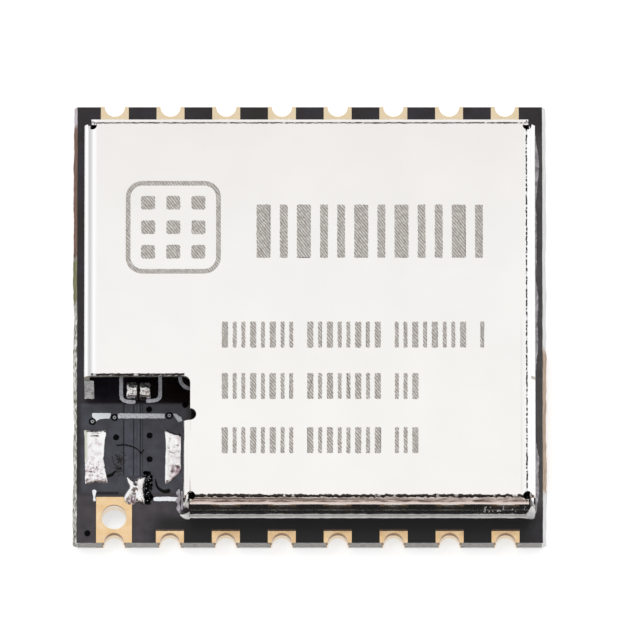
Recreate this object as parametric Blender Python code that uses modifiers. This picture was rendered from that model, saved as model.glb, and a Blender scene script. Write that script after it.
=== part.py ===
"""Surface-mount radio module: a castellated circuit board under a folded shield can.

Metres, +Z up. The origin is the middle of the footprint at the lowest face of the
terminals. +X runs along the terminal rows, and -Y is the side with the antenna
terminal and the open corner of the can, where a coax connector was never fitted.
"""

import math

import bmesh
import bpy

MM = 0.001

# Board
BOARD_LENGTH = 17.0 * MM
BOARD_WIDTH = 16.0 * MM
BOARD_THICKNESS = 0.8 * MM
SCORE_RUN = 0.15 * MM  # how far each V-score slopes in at the two snapped ends
SCORE_DEPTH = 0.27 * MM

# Terminals: pads wrapped round half holes in the two long edges
TERMINAL_PITCH = 2.0 * MM
ROW_END_MARGIN = 1.5 * MM  # from the board's end to the first terminal
HALF_HOLE_RADIUS = 0.36 * MM
PLATING = 0.04 * MM
PAD_WIDTH = 1.0 * MM
TOP_PAD_LENGTH = 0.46 * MM
BOTTOM_PAD_LENGTH = 0.8 * MM
ANTENNA_PAD_WIDTH = 1.28 * MM
ANTENNA_PAD_LENGTH = 1.67 * MM
ANTENNA_HOLE_RADIUS = 0.45 * MM
ANTENNA_HOLE_INSET = 0.94 * MM  # from the board's edge to the hole's centre

# Seats: what is soldered or plated to a face lies this far off it
SEAT_GAP = 0.01 * MM

# Shield can
SHEET = 0.2 * MM
CAN_HEIGHT = 2.34 * MM
CAN_SIDE_MARGIN = 0.44 * MM  # board left bare at each end
CAN_FRONT_MARGIN = 0.95 * MM
CAN_BACK_MARGIN = 0.93 * MM
BEND_RADIUS = 0.3 * MM  # outside of the bend
CORNER_GAP = 0.24 * MM  # square cut where two walls would meet
RELIEF_RADIUS = 0.16 * MM
RELIEF_INSET = 0.28 * MM
MOUTH_CORNER_RADIUS = 0.24 * MM
MOUTH_EDGE_SETBACK = 0.26 * MM  # from the notch wall's face to the open edge above it
NOTCH_RELIEF_RADIUS = 0.215 * MM
NOTCH_WALL_LENGTH = 2.8 * MM  # from the notch relief down to the corner gap

# Footprint of the coax connector, with the solder that is left on it
CONNECTOR_END_INSET = 2.22 * MM  # from the board's left end
CONNECTOR_FRONT_INSET = 3.15 * MM  # from the board's front edge
GROUND_SPACING = 2.76 * MM
GROUND_SOLDER_LENGTH = 1.96 * MM
LEFT_GROUND_WIDTH = 0.83 * MM
RIGHT_GROUND_WIDTH = 0.61 * MM
SIGNAL_SOLDER_WIDTH = 0.83 * MM
SIGNAL_SOLDER_LENGTH = 1.08 * MM
SIGNAL_DISTANCE = 1.23 * MM  # from the ground pads' middle to the signal pad's
SOLDER_HEIGHT = 0.26 * MM
SOLDER_RIM = 0.25  # share of a mound's height that is left at its edge
NOTCH_CLEARANCE = 0.07 * MM  # from the right ground solder to the notch wall
MOUTH_DISTANCE = 2.45 * MM  # from the connector's middle to the can's open edge

# Solder at the can's foot
FOOT_SOLDER_REACH = 0.08 * MM
FOOT_SOLDER_RISE = 0.3 * MM
WALL_END_SOLDER_WIDTH = 0.34 * MM
WALL_END_SOLDER_REACH = 0.38 * MM  # along the board, away from the wall's end
WALL_END_SOLDER_RISE = 1.7 * MM
CORNER_SOLDER_SIZE = 0.34 * MM
CORNER_SOLDER_HEIGHT = 0.22 * MM
SLIT_SOLDER_REACH = 0.08 * MM  # past the front wall's face
SLIT_SOLDER_HEIGHT = 1.1 * MM
NOTCH_FILLET_LENGTH = 0.7 * MM

# Small two-terminal parts, size 0402
CHIP_LENGTH = 1.0 * MM
CHIP_WIDTH = 0.5 * MM
CHIP_HEIGHT = 0.35 * MM
CHIP_CAP = 0.25 * MM
CHIP_CAP_STEP = 0.02 * MM
CHIP_SPACING = 1.5 * MM  # along a row of parts laid end to end
CHIP_SIDE_SPACING = 0.75 * MM  # along a row of parts laid side by side
CHIP_ROW_STEP = 1.1 * MM

# Parts under the can, placed from its inner faces and from each other
TRANSCEIVER_SIZE = 4.0 * MM
TRANSCEIVER_HEIGHT = 0.85 * MM
TRANSCEIVER_PAD_SIZE = 2.6 * MM
TRANSCEIVER_PAD_THICKNESS = 0.06 * MM
TRANSCEIVER_FROM_RIGHT = 6.3 * MM
TRANSCEIVER_FROM_BACK = 6.6 * MM
CRYSTAL_LENGTH = 2.5 * MM
CRYSTAL_WIDTH = 2.0 * MM
CRYSTAL_BASE_HEIGHT = 0.4 * MM
CRYSTAL_LID_HEIGHT = 0.15 * MM
CRYSTAL_LID_INSET = 0.15 * MM
CRYSTAL_FROM_RIGHT = 2.3 * MM
CRYSTAL_FROM_BACK = 3.0 * MM
INDUCTOR_LENGTH = 2.0 * MM
INDUCTOR_WIDTH = 1.6 * MM
INDUCTOR_HEIGHT = 1.0 * MM
INDUCTOR_FROM_RIGHT = 2.2 * MM
INDUCTOR_FROM_BACK = 9.0 * MM
SWITCH_LENGTH = 1.6 * MM
SWITCH_WIDTH = 1.2 * MM
SWITCH_HEIGHT = 0.6 * MM
SWITCH_FROM_TRANSCEIVER = 2.1 * MM  # from the transceiver's left side to the switch's middle
SWITCH_FROM_BACK = 8.2 * MM
MOULD_BEVEL = 0.05 * MM
DECOUPLING_FROM_RIGHT = 10.3 * MM
DECOUPLING_FROM_BACK = 2.4 * MM
SUPPLY_FROM_RIGHT = 3.2 * MM
SUPPLY_FROM_BACK = 6.1 * MM
MATCHING_FROM_TRANSCEIVER = 2.4 * MM  # from the transceiver's left side to the far column
MATCHING_FROM_BACK = 4.8 * MM
BIAS_FROM_NOTCH = 2.0 * MM  # from the notch wall's face to the first resistor
BIAS_FROM_FRONT = 1.6 * MM
MOUTH_CHIP_RIGHT = 0.14 * MM  # from the connector's middle
MOUTH_CHIP_OUT = 0.05 * MM  # past the can's open edge

# Facets
HOLE_SIDES = 32
BEND_STEPS = 6
ARC_STEPS = 6
SOLDER_CUTS = 5

# Levels and faces that follow from the sizes above
BOARD_BOTTOM = PLATING + SEAT_GAP
BOARD_TOP = BOARD_BOTTOM + BOARD_THICKNESS
SEAT_TOP = BOARD_TOP + SEAT_GAP
CAN_TOP = SEAT_TOP + CAN_HEIGHT
BOARD_END = BOARD_LENGTH / 2
BOARD_EDGE = BOARD_WIDTH / 2
CAN_SIDE = BOARD_END - CAN_SIDE_MARGIN
CAN_FRONT = -BOARD_EDGE + CAN_FRONT_MARGIN
CAN_BACK = BOARD_EDGE - CAN_BACK_MARGIN
CONNECTOR_X = -BOARD_END + CONNECTOR_END_INSET
CONNECTOR_Y = -BOARD_EDGE + CONNECTOR_FRONT_INSET
NOTCH_WALL_X = CONNECTOR_X + GROUND_SPACING / 2 + RIGHT_GROUND_WIDTH / 2 + NOTCH_CLEARANCE
MOUTH_X = NOTCH_WALL_X + MOUTH_EDGE_SETBACK
MOUTH_Y = CONNECTOR_Y + MOUTH_DISTANCE
NOTCH_WALL_START = CAN_FRONT + CORNER_GAP + NOTCH_WALL_LENGTH
INNER_RIGHT = CAN_SIDE - SHEET
INNER_BACK = CAN_BACK - SHEET
TRANSCEIVER_X = INNER_RIGHT - TRANSCEIVER_FROM_RIGHT
TRANSCEIVER_LEFT = TRANSCEIVER_X - TRANSCEIVER_SIZE / 2
TERMINALS_PER_ROW = int((BOARD_LENGTH - 2 * ROW_END_MARGIN) / TERMINAL_PITCH + 1.001)

CUT_MARGIN = 1.0 * MM  # how far a cutter runs past what it cuts


def clear_scene():
    """Remove whatever the open file holds."""
    for old_object in list(bpy.data.objects):
        bpy.data.objects.remove(old_object, do_unlink=True)


def new_collection(name):
    """Add a collection to the scene."""
    collection = bpy.data.collections.new(name)
    bpy.context.scene.collection.children.link(collection)
    return collection


def new_material(name, colour, roughness, metallic=0.0):
    """Make a plain Principled material."""
    material = bpy.data.materials.new(name)
    material.use_nodes = True
    shader = material.node_tree.nodes["Principled BSDF"]
    shader.inputs["Base Color"].default_value = (*colour, 1.0)
    shader.inputs["Roughness"].default_value = roughness
    shader.inputs["Metallic"].default_value = metallic
    material.diffuse_color = (*colour, 1.0)
    return material


def mesh_object(name, shape, collection, colour=None):
    """Turn a bmesh into a named object."""
    mesh = bpy.data.meshes.new(name)
    shape.to_mesh(mesh)
    shape.free()
    made = bpy.data.objects.new(name, mesh)
    collection.objects.link(made)
    if colour is not None:
        mesh.materials.append(colour)
    return made


def box(low, high, shape=None):
    """Add a box between two corners to a bmesh."""
    shape = shape or bmesh.new()
    corners = bmesh.ops.create_cube(shape, size=1.0)["verts"]
    for corner in corners:
        corner.co = [high[i] if corner.co[i] > 0 else low[i] for i in range(3)]
    return shape


def cylinder(centre, radius, low, high, shape=None):
    """Add an upright cylinder between two levels to a bmesh."""
    shape = shape or bmesh.new()
    rim = bmesh.ops.create_cone(
        shape, cap_ends=True, segments=HOLE_SIDES, radius1=radius, radius2=radius, depth=1.0
    )["verts"]
    for corner in rim:
        level = high if corner.co.z > 0 else low
        corner.co = (centre[0] + corner.co.x, centre[1] + corner.co.y, level)
    return shape


def arc(centre, radius, start, end, steps=ARC_STEPS):
    """Points along an arc, with its angles in degrees."""
    turns = [math.radians(start + (end - start) * i / steps) for i in range(steps + 1)]
    return [(centre[0] + radius * math.cos(t), centre[1] + radius * math.sin(t)) for t in turns]


def extruded(points, thickness):
    """A closed outline in XY, extruded to both sides of Z = 0, as a bmesh."""
    curve = bpy.data.curves.new("outline", "CURVE")
    curve.dimensions = "2D"
    curve.fill_mode = "BOTH"
    curve.extrude = thickness / 2
    spline = curve.splines.new("POLY")
    spline.points.add(len(points) - 1)
    for point, place in zip(spline.points, points):
        point.co = (place[0], place[1], 0.0, 1.0)
    spline.use_cyclic_u = True
    guide = bpy.data.objects.new("outline", curve)
    bpy.context.scene.collection.objects.link(guide)
    flat = bpy.data.meshes.new_from_object(guide.evaluated_get(bpy.context.evaluated_depsgraph_get()))
    shape = bmesh.new()
    shape.from_mesh(flat)
    bmesh.ops.remove_doubles(shape, verts=shape.verts, dist=SEAT_GAP / 10)
    flat_faces = math.radians(1.0)
    bmesh.ops.dissolve_limit(shape, angle_limit=flat_faces, verts=shape.verts, edges=shape.edges)
    bmesh.ops.recalc_face_normals(shape, faces=shape.faces)
    for face in shape.faces:
        face.smooth = False
    bpy.data.objects.remove(guide, do_unlink=True)
    bpy.data.meshes.remove(flat)
    return shape


def prism(points, low, high):
    """A closed outline in XY, extruded between two levels."""
    shape = extruded(points, high - low)
    for corner in shape.verts:
        corner.co.z = high if corner.co.z > 0 else low
    return shape


def cutter(name, shape):
    """Keep a bmesh as a hidden cutting tool."""
    tool = mesh_object(name, shape, CUTTERS)
    tool.hide_render = True
    tool.display_type = "WIRE"
    return tool


def boolean(target, tool, operation="DIFFERENCE"):
    """Add an exact Boolean modifier."""
    modifier = target.modifiers.new(operation.lower(), "BOOLEAN")
    modifier.operation = operation
    modifier.solver = "EXACT"
    modifier.object = tool


def evaluated_mesh(made):
    """The mesh of an object after its modifiers."""
    bpy.context.view_layer.update()
    return bpy.data.meshes.new_from_object(made.evaluated_get(bpy.context.evaluated_depsgraph_get()))


def smooth(made, angle):
    """Shade round faces smooth and keep edges sharper than an angle in degrees."""
    made.data.shade_smooth()
    made.data.set_sharp_from_angle(angle=math.radians(angle))


def bevelled(made, width, segments=2):
    """Round the edges of a moulded or fired body."""
    modifier = made.modifiers.new("bevel", "BEVEL")
    modifier.width = width
    modifier.segments = segments
    modifier.limit_method = "ANGLE"


def terminal_places():
    """X of each terminal in a row, from left to right."""
    first = -(TERMINALS_PER_ROW - 1) * TERMINAL_PITCH / 2
    return [first + i * TERMINAL_PITCH for i in range(TERMINALS_PER_ROW)]


def make_board():
    """Laminate with snapped ends and half holes along both long edges."""
    end_slope = BOARD_END - SCORE_RUN
    middle = (BOARD_BOTTOM + BOARD_TOP) / 2
    low, high = BOARD_BOTTOM - middle, BOARD_TOP - middle
    section = [
        (-end_slope, low),
        (end_slope, low),
        (BOARD_END, low + SCORE_DEPTH),
        (BOARD_END, high - SCORE_DEPTH),
        (end_slope, high),
        (-end_slope, high),
        (-BOARD_END, high - SCORE_DEPTH),
        (-BOARD_END, low + SCORE_DEPTH),
    ]
    shape = extruded(section, BOARD_WIDTH)
    for corner in shape.verts:
        corner.co = (corner.co.x, -corner.co.z, corner.co.y + middle)
    board = mesh_object("circuit_board", shape, PARTS, SOLDER_MASK)

    radius = HALF_HOLE_RADIUS + PLATING + SEAT_GAP
    low, high = BOARD_BOTTOM - CUT_MARGIN, BOARD_TOP + CUT_MARGIN
    holes = bmesh.new()
    for edge in (-BOARD_EDGE, BOARD_EDGE):
        for x in terminal_places():
            cylinder((x, edge), radius, low, high, holes)
    hole_centre = (terminal_places()[0], -BOARD_EDGE + ANTENNA_HOLE_INSET)
    cylinder(hole_centre, ANTENNA_HOLE_RADIUS + PLATING + SEAT_GAP, low, high, holes)
    boolean(board, cutter("board_holes", holes))


def plated_pad(name, width, top_length, bottom_length, hole=None):
    """Mesh of one wrapped terminal: two pads and the barrel of a half hole.

    The board's edge is the line Y = 0, with the board on its +Y side. A hole is the
    radius and the distance from the edge of a plated through hole.
    """
    pad_top = SEAT_TOP + PLATING
    barrels = [((0.0, 0.0), HALF_HOLE_RADIUS)]
    if hole is not None:
        barrels.append(((0.0, hole[1]), hole[0]))
    made = mesh_object(
        name, box((-width / 2, 0.0, SEAT_TOP), (width / 2, top_length, pad_top)), PARTS, GOLD
    )
    bottom = box((-width / 2, 0.0, 0.0), (width / 2, bottom_length, PLATING))
    boolean(made, cutter(name + "_bottom", bottom), "UNION")
    for centre, radius in barrels:
        wall = cylinder(centre, radius + PLATING, PLATING / 2, pad_top - PLATING / 2)
        boolean(made, cutter(name + "_wall", wall), "UNION")
    for centre, radius in barrels:
        bore = cylinder(centre, radius, -CUT_MARGIN, pad_top + CUT_MARGIN)
        boolean(made, cutter(name + "_bore", bore))
    reach = width / 2 + CUT_MARGIN
    outside = box((-reach, -CUT_MARGIN, -CUT_MARGIN), (reach, 0.0, pad_top + CUT_MARGIN))
    boolean(made, cutter(name + "_outside", outside))
    mesh = evaluated_mesh(made)
    bpy.data.objects.remove(made, do_unlink=True)
    return mesh


def make_terminals():
    """Terminals, numbered anticlockwise from the antenna at the front left."""
    hole = (ANTENNA_HOLE_RADIUS, ANTENNA_HOLE_INSET)
    antenna = plated_pad(
        "antenna_pad", ANTENNA_PAD_WIDTH, ANTENNA_PAD_LENGTH, ANTENNA_PAD_LENGTH, hole
    )
    plain = plated_pad("plain_pad", PAD_WIDTH, TOP_PAD_LENGTH, BOTTOM_PAD_LENGTH)
    places = [(x, -BOARD_EDGE, 0.0) for x in terminal_places()]
    places += [(x, BOARD_EDGE, math.pi) for x in reversed(terminal_places())]
    for number, (x, y, turn) in enumerate(places, start=1):
        mesh = antenna if number == 1 else plain
        terminal = bpy.data.objects.new(f"terminal_{number:02d}", mesh)
        terminal.location = (x, y, 0.0)
        terminal.rotation_euler.z = turn
        PARTS.objects.link(terminal)


def can_skin():
    """Outer skin of the can as an open surface, with its top edges bent round."""
    notch_side = NOTCH_WALL_START + SEAT_GAP  # this side is all cut away for the mouth
    outline = [
        (CAN_SIDE, CAN_FRONT),
        (CAN_SIDE, CAN_BACK),
        (-CAN_SIDE, CAN_BACK),
        (-CAN_SIDE, notch_side),
        (NOTCH_WALL_X, notch_side),
        (NOTCH_WALL_X, CAN_FRONT),
    ]
    shape = prism(outline, SEAT_TOP, CAN_TOP)
    floor = [face for face in shape.faces if face.normal.z < -0.5]
    bmesh.ops.delete(shape, geom=floor, context="FACES_ONLY")
    half_way = (SEAT_TOP + CAN_TOP) / 2
    top_edges = [edge for edge in shape.edges if all(v.co.z > half_way for v in edge.verts)]
    bmesh.ops.bevel(
        shape, geom=top_edges, offset=BEND_RADIUS, offset_type="OFFSET", segments=BEND_STEPS,
        profile=0.5, affect="EDGES",
    )
    return shape


def mouth_outline():
    """Plan of what is cut away between the left wall and the notch wall."""
    far = -CAN_SIDE - CUT_MARGIN
    corner = (MOUTH_X - MOUTH_CORNER_RADIUS, MOUTH_Y - MOUTH_CORNER_RADIUS)
    relief = (MOUTH_X, NOTCH_WALL_START + NOTCH_RELIEF_RADIUS)
    outline = [(far, NOTCH_WALL_START), (far, MOUTH_Y)]
    outline += arc(corner, MOUTH_CORNER_RADIUS, 90, 0)
    outline += arc(relief, NOTCH_RELIEF_RADIUS, 90, -90, 2 * ARC_STEPS)
    return outline


def make_can():
    """Shield can folded from one sheet, open at the connector's corner."""
    can = mesh_object("shield_can", can_skin(), PARTS, TINNED_SHEET)
    shell = can.modifiers.new("sheet", "SOLIDIFY")
    shell.thickness = SHEET
    shell.offset = -1.0
    shell.use_even_offset = True
    below, above = SEAT_TOP - CUT_MARGIN, CAN_TOP + CUT_MARGIN
    boolean(can, cutter("can_mouth", prism(mouth_outline(), below, above)))
    gaps = bmesh.new()
    reliefs = bmesh.new()
    corners = (
        (CAN_SIDE, CAN_BACK, 1, 1),
        (-CAN_SIDE, CAN_BACK, -1, 1),
        (CAN_SIDE, CAN_FRONT, 1, -1),
        (NOTCH_WALL_X, CAN_FRONT, -1, -1),
    )
    for x, y, side, end in corners:
        xs = sorted((x - side * CORNER_GAP, x + side * CUT_MARGIN))
        ys = sorted((y - end * CORNER_GAP, y + end * CUT_MARGIN))
        box((xs[0], ys[0], below), (xs[1], ys[1], above), gaps)
        centre = (x - side * RELIEF_INSET, y - end * RELIEF_INSET)
        cylinder(centre, RELIEF_RADIUS, CAN_TOP - BEND_RADIUS, above, reliefs)
    boolean(can, cutter("can_corner_gaps", gaps))
    boolean(can, cutter("can_corner_reliefs", reliefs))
    smooth(can, 30)


def solder_mound(name, low, high, height, pinch):
    """Frozen solder on a pad, drawn out to its corners with hollow sides.

    The pinch is the share by which each side pulls in at its middle.
    """
    shape = bmesh.new()
    bmesh.ops.create_cube(shape, size=2.0)
    bmesh.ops.subdivide_edges(shape, edges=shape.edges, cuts=SOLDER_CUTS, use_grid_fill=True)
    centre = [(low[i] + high[i]) / 2 for i in range(2)]
    reach = [(high[i] - low[i]) / 2 for i in range(2)]
    for corner in shape.verts:
        u, v, w = corner.co
        dome = SOLDER_RIM + (1 - SOLDER_RIM) * (1 - u**4) * (1 - v**4)
        x = centre[0] + u * reach[0] * (1 - pinch[0] * (1 - v * v))
        y = centre[1] + v * reach[1] * (1 - pinch[1] * (1 - u * u))
        corner.co = (x, y, SEAT_TOP + (w + 1) / 2 * height * dome)
    made = mesh_object(name, shape, PARTS, SOLDER)
    smooth(made, 50)
    return made


def make_connector_solder():
    """Solder left on the two ground pads and the signal pad."""
    half_length = GROUND_SOLDER_LENGTH / 2
    left = CONNECTOR_X - GROUND_SPACING / 2
    right = CONNECTOR_X + GROUND_SPACING / 2
    grounds = (
        ("ground_solder_left", left, LEFT_GROUND_WIDTH),
        ("ground_solder_right", right, RIGHT_GROUND_WIDTH),
    )
    for name, x, width in grounds:
        low = (x - width / 2, CONNECTOR_Y - half_length)
        high = (x + width / 2, CONNECTOR_Y + half_length)
        solder_mound(name, low, high, SOLDER_HEIGHT, (0.14, 0.03))

    y = CONNECTOR_Y - SIGNAL_DISTANCE
    low = (CONNECTOR_X - SIGNAL_SOLDER_WIDTH / 2, y - SIGNAL_SOLDER_LENGTH / 2)
    high = (CONNECTOR_X + SIGNAL_SOLDER_WIDTH / 2, y + SIGNAL_SOLDER_LENGTH / 2)
    signal = solder_mound("signal_solder", low, high, SOLDER_HEIGHT, (0.3, 0.16))
    first = terminal_places()[0]
    pad_reach = ANTENNA_PAD_WIDTH / 2 + SEAT_GAP
    pad_low = (first - pad_reach, -BOARD_EDGE, BOARD_TOP)
    pad_inner = -BOARD_EDGE + ANTENNA_PAD_LENGTH + SEAT_GAP
    pad_high = (first + pad_reach, pad_inner, SEAT_TOP + PLATING + SEAT_GAP)
    boolean(signal, cutter("signal_pad_step", box(pad_low, pad_high)))


def foot_fillet(name, start, length, turn, reach=FOOT_SOLDER_REACH, rise=FOOT_SOLDER_RISE):
    """A hollow solder fillet that climbs the outside of a wall from its foot."""
    hollow = arc((1.0, 1.0), 1.0, 180, 270)
    section = [(0.0, 0.0)] + [(x * reach, y * rise) for x, y in hollow]
    made = mesh_object(name, extruded(section, length), PARTS, SOLDER)
    made.location = start
    made.rotation_euler = (math.pi / 2, 0.0, turn)
    smooth(made, 50)


def make_can_solder():
    """Solder along the front foot and the notch wall, up the left wall's end and in two corners."""
    front_left = NOTCH_WALL_X + CORNER_GAP
    front_right = CAN_SIDE - CORNER_GAP
    front = ((front_left + front_right) / 2, CAN_FRONT - SEAT_GAP, SEAT_TOP)
    foot_fillet("can_solder_front", front, front_right - front_left, -math.pi / 2)
    notch_y = CAN_FRONT + CORNER_GAP + NOTCH_FILLET_LENGTH / 2
    notch = (NOTCH_WALL_X - SEAT_GAP, notch_y, SEAT_TOP)
    foot_fillet("can_solder_notch", notch, NOTCH_FILLET_LENGTH, math.pi)

    wall_end = (-CAN_SIDE + WALL_END_SOLDER_WIDTH / 2, MOUTH_Y - SEAT_GAP, SEAT_TOP)
    foot_fillet("can_solder_left", wall_end, WALL_END_SOLDER_WIDTH, -math.pi / 2,
                WALL_END_SOLDER_REACH, WALL_END_SOLDER_RISE)
    slit_back = CAN_FRONT + CORNER_GAP - SEAT_GAP
    high = (front_left - SEAT_GAP, slit_back)
    low = (high[0] - CORNER_SOLDER_SIZE, high[1] - CORNER_SOLDER_SIZE)
    solder_mound("can_solder_corner", low, high, CORNER_SOLDER_HEIGHT, (0.1, 0.1))
    low = (front_right + SEAT_GAP, CAN_FRONT - SLIT_SOLDER_REACH)
    high = (CAN_SIDE, slit_back)
    solder_mound("can_solder_right", low, high, SLIT_SOLDER_HEIGHT, (0.1, 0.1))


def chip_part(name, centre, upright, colour):
    """A two-terminal part whose end caps stand a little proud of its body."""
    end, side = CHIP_LENGTH / 2, CHIP_WIDTH / 2
    waist, cap = side - CHIP_CAP_STEP, end - CHIP_CAP
    quarter = [(end, -side), (end, side), (cap, side), (cap, waist)]
    half = quarter + [(-x, y) for x, y in reversed(quarter)]
    outline = half[1:7] + [(-end, -side), (-cap, -side), (-cap, -waist)]
    outline += [(cap, -waist), (cap, -side), (end, -side)]
    made = mesh_object(name, prism(outline, 0.0, CHIP_HEIGHT), PARTS, colour)
    made.location = (centre[0], centre[1], SEAT_TOP)
    made.rotation_euler.z = math.pi / 2 if upright else 0.0


def chip_row(name, first, count, columns, upright, colour):
    """Rows of equal small parts, from the place of the first one."""
    step = CHIP_SIDE_SPACING if upright else CHIP_SPACING
    for i in range(count):
        row, column = divmod(i, columns)
        centre = (first[0] + column * step, first[1] - row * CHIP_ROW_STEP)
        chip_part(f"{name}_{i + 1}", centre, upright, colour)


def block(name, centre, length, width, low, height, colour, bevel=0.0):
    """A rectangular body standing on a level."""
    corner = (centre[0] - length / 2, centre[1] - width / 2, low)
    far = (centre[0] + length / 2, centre[1] + width / 2, low + height)
    made = mesh_object(name, box(corner, far), PARTS, colour)
    if bevel > 0.0:
        bevelled(made, bevel)
    return made


def make_mouth_capacitor():
    """The one small part that shows in the can's mouth, with its two end caps."""
    x = CONNECTOR_X + MOUTH_CHIP_RIGHT
    y = MOUTH_Y - MOUTH_CHIP_OUT
    body_length = CHIP_LENGTH - 2 * (CHIP_CAP + SEAT_GAP)
    side = CHIP_WIDTH - 2 * CHIP_CAP_STEP
    block("mouth_capacitor_body", (x, y), body_length, side, SEAT_TOP + CHIP_CAP_STEP,
          CHIP_HEIGHT - 2 * CHIP_CAP_STEP, CERAMIC)
    for name, end in (("mouth_capacitor_left_cap", -1), ("mouth_capacitor_right_cap", 1)):
        cap_x = x + end * (CHIP_LENGTH - CHIP_CAP) / 2
        block(name, (cap_x, y), CHIP_CAP, CHIP_WIDTH, SEAT_TOP, CHIP_HEIGHT, SOLDER, CHIP_CAP_STEP)


def make_inner_parts():
    """The circuit under the can."""
    place = (TRANSCEIVER_X, INNER_BACK - TRANSCEIVER_FROM_BACK)
    pad = TRANSCEIVER_PAD_SIZE
    block("transceiver_ground_pad", place, pad, pad, SEAT_TOP, TRANSCEIVER_PAD_THICKNESS, SOLDER)
    chip_low = SEAT_TOP + TRANSCEIVER_PAD_THICKNESS + SEAT_GAP
    block("transceiver_chip", place, TRANSCEIVER_SIZE, TRANSCEIVER_SIZE, chip_low,
          TRANSCEIVER_HEIGHT, MOULDING, MOULD_BEVEL)
    place = (INNER_RIGHT - CRYSTAL_FROM_RIGHT, INNER_BACK - CRYSTAL_FROM_BACK)
    block("crystal_base", place, CRYSTAL_LENGTH, CRYSTAL_WIDTH, SEAT_TOP,
          CRYSTAL_BASE_HEIGHT, CERAMIC, MOULD_BEVEL)
    lid_low = SEAT_TOP + CRYSTAL_BASE_HEIGHT + SEAT_GAP
    block("crystal_lid", place, CRYSTAL_LENGTH - 2 * CRYSTAL_LID_INSET,
          CRYSTAL_WIDTH - 2 * CRYSTAL_LID_INSET, lid_low, CRYSTAL_LID_HEIGHT,
          TINNED_SHEET, MOULD_BEVEL)
    place = (INNER_RIGHT - INDUCTOR_FROM_RIGHT, INNER_BACK - INDUCTOR_FROM_BACK)
    block("power_inductor", place, INDUCTOR_LENGTH, INDUCTOR_WIDTH,
          SEAT_TOP, INDUCTOR_HEIGHT, MOULDING, MOULD_BEVEL)
    place = (TRANSCEIVER_LEFT - SWITCH_FROM_TRANSCEIVER, INNER_BACK - SWITCH_FROM_BACK)
    block("antenna_switch", place, SWITCH_LENGTH, SWITCH_WIDTH,
          SEAT_TOP, SWITCH_HEIGHT, MOULDING, MOULD_BEVEL)

    place = (INNER_RIGHT - DECOUPLING_FROM_RIGHT, INNER_BACK - DECOUPLING_FROM_BACK)
    chip_row("decoupling_capacitor", place, 4, 4, False, CERAMIC)
    place = (INNER_RIGHT - SUPPLY_FROM_RIGHT, INNER_BACK - SUPPLY_FROM_BACK)
    chip_row("supply_capacitor", place, 3, 3, True, CERAMIC)
    place = (TRANSCEIVER_LEFT - MATCHING_FROM_TRANSCEIVER, INNER_BACK - MATCHING_FROM_BACK)
    chip_row("matching_inductor", place, 6, 2, False, CERAMIC)
    place = (NOTCH_WALL_X + BIAS_FROM_NOTCH, CAN_FRONT + BIAS_FROM_FRONT)
    chip_row("bias_resistor", place, 4, 4, False, MOULDING)


clear_scene()
PARTS = new_collection("radio_module")
CUTTERS = new_collection("cutters")
SOLDER_MASK = new_material("black_solder_mask", (0.03, 0.03, 0.038), 0.35)
GOLD = new_material("gold_plating", (0.83, 0.60, 0.33), 0.3, 1.0)
TINNED_SHEET = new_material("tinned_sheet", (0.86, 0.84, 0.82), 0.3, 1.0)
SOLDER = new_material("solder", (0.72, 0.72, 0.72), 0.25, 1.0)
CERAMIC = new_material("ceramic", (0.45, 0.36, 0.28), 0.5)
MOULDING = new_material("black_moulding", (0.02, 0.02, 0.02), 0.6)

make_board()
make_terminals()
make_can()
make_connector_solder()
make_can_solder()
make_mouth_capacitor()
make_inner_parts()
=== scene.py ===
"""Looks of the radio module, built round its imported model.

Lengths are in metres. Places that were read from the photograph are real sizes in
millimetres in the part's own frame: X along the terminal rows, Y across them, Z up.
"""

import math
import random

import bmesh
import bpy
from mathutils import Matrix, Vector, noise


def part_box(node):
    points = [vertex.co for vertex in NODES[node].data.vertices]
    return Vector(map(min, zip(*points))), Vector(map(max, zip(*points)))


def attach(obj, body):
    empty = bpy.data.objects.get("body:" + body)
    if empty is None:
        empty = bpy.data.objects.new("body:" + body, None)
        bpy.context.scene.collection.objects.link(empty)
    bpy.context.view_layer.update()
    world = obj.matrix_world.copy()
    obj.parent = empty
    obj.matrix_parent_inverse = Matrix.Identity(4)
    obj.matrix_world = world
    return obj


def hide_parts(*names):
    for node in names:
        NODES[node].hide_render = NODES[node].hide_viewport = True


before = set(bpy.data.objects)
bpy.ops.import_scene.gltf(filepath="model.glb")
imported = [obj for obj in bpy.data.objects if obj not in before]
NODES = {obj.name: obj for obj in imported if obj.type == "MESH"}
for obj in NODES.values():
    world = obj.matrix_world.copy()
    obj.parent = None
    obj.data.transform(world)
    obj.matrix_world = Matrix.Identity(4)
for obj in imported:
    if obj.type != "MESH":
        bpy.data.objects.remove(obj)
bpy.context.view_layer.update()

MM = 0.001

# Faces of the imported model
BOARD_LOW, BOARD_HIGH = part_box("circuit_board")
BOARD_TOP = BOARD_HIGH.z
BOARD_BOTTOM = BOARD_LOW.z
BOARD_END = BOARD_HIGH.x
BOARD_EDGE = BOARD_HIGH.y
CAN_LOW, CAN_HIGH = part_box("shield_can")
CAN_SIDE = CAN_HIGH.x
CAN_FRONT = CAN_LOW.y
CAN_BACK = CAN_HIGH.y
CAN_TOP = CAN_HIGH.z
SEAT_GAP = 0.01 * MM
SEAT_TOP = BOARD_TOP + SEAT_GAP
NOTCH_WALL_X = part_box("can_solder_notch")[1].x + SEAT_GAP
MOUTH_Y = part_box("can_solder_left")[1].y + SEAT_GAP
PITCH = 2.0 * MM
FIRST_TERMINAL = -7.0 * MM
TERMINALS_PER_ROW = 8
TOP_PAD_LENGTH = 0.46 * MM

# Camera: the photograph is taken from nearly above, with the antenna corner at lower left
VIEW_ELEVATION = math.radians(77.3)
VIEW_TARGET = Vector((0.366, 0.157, 0.9)) * MM
VIEW_WIDTH = 22.93 * MM
VIEW_DISTANCE = 0.8
SENSOR = 36.0


# Node helpers

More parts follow.
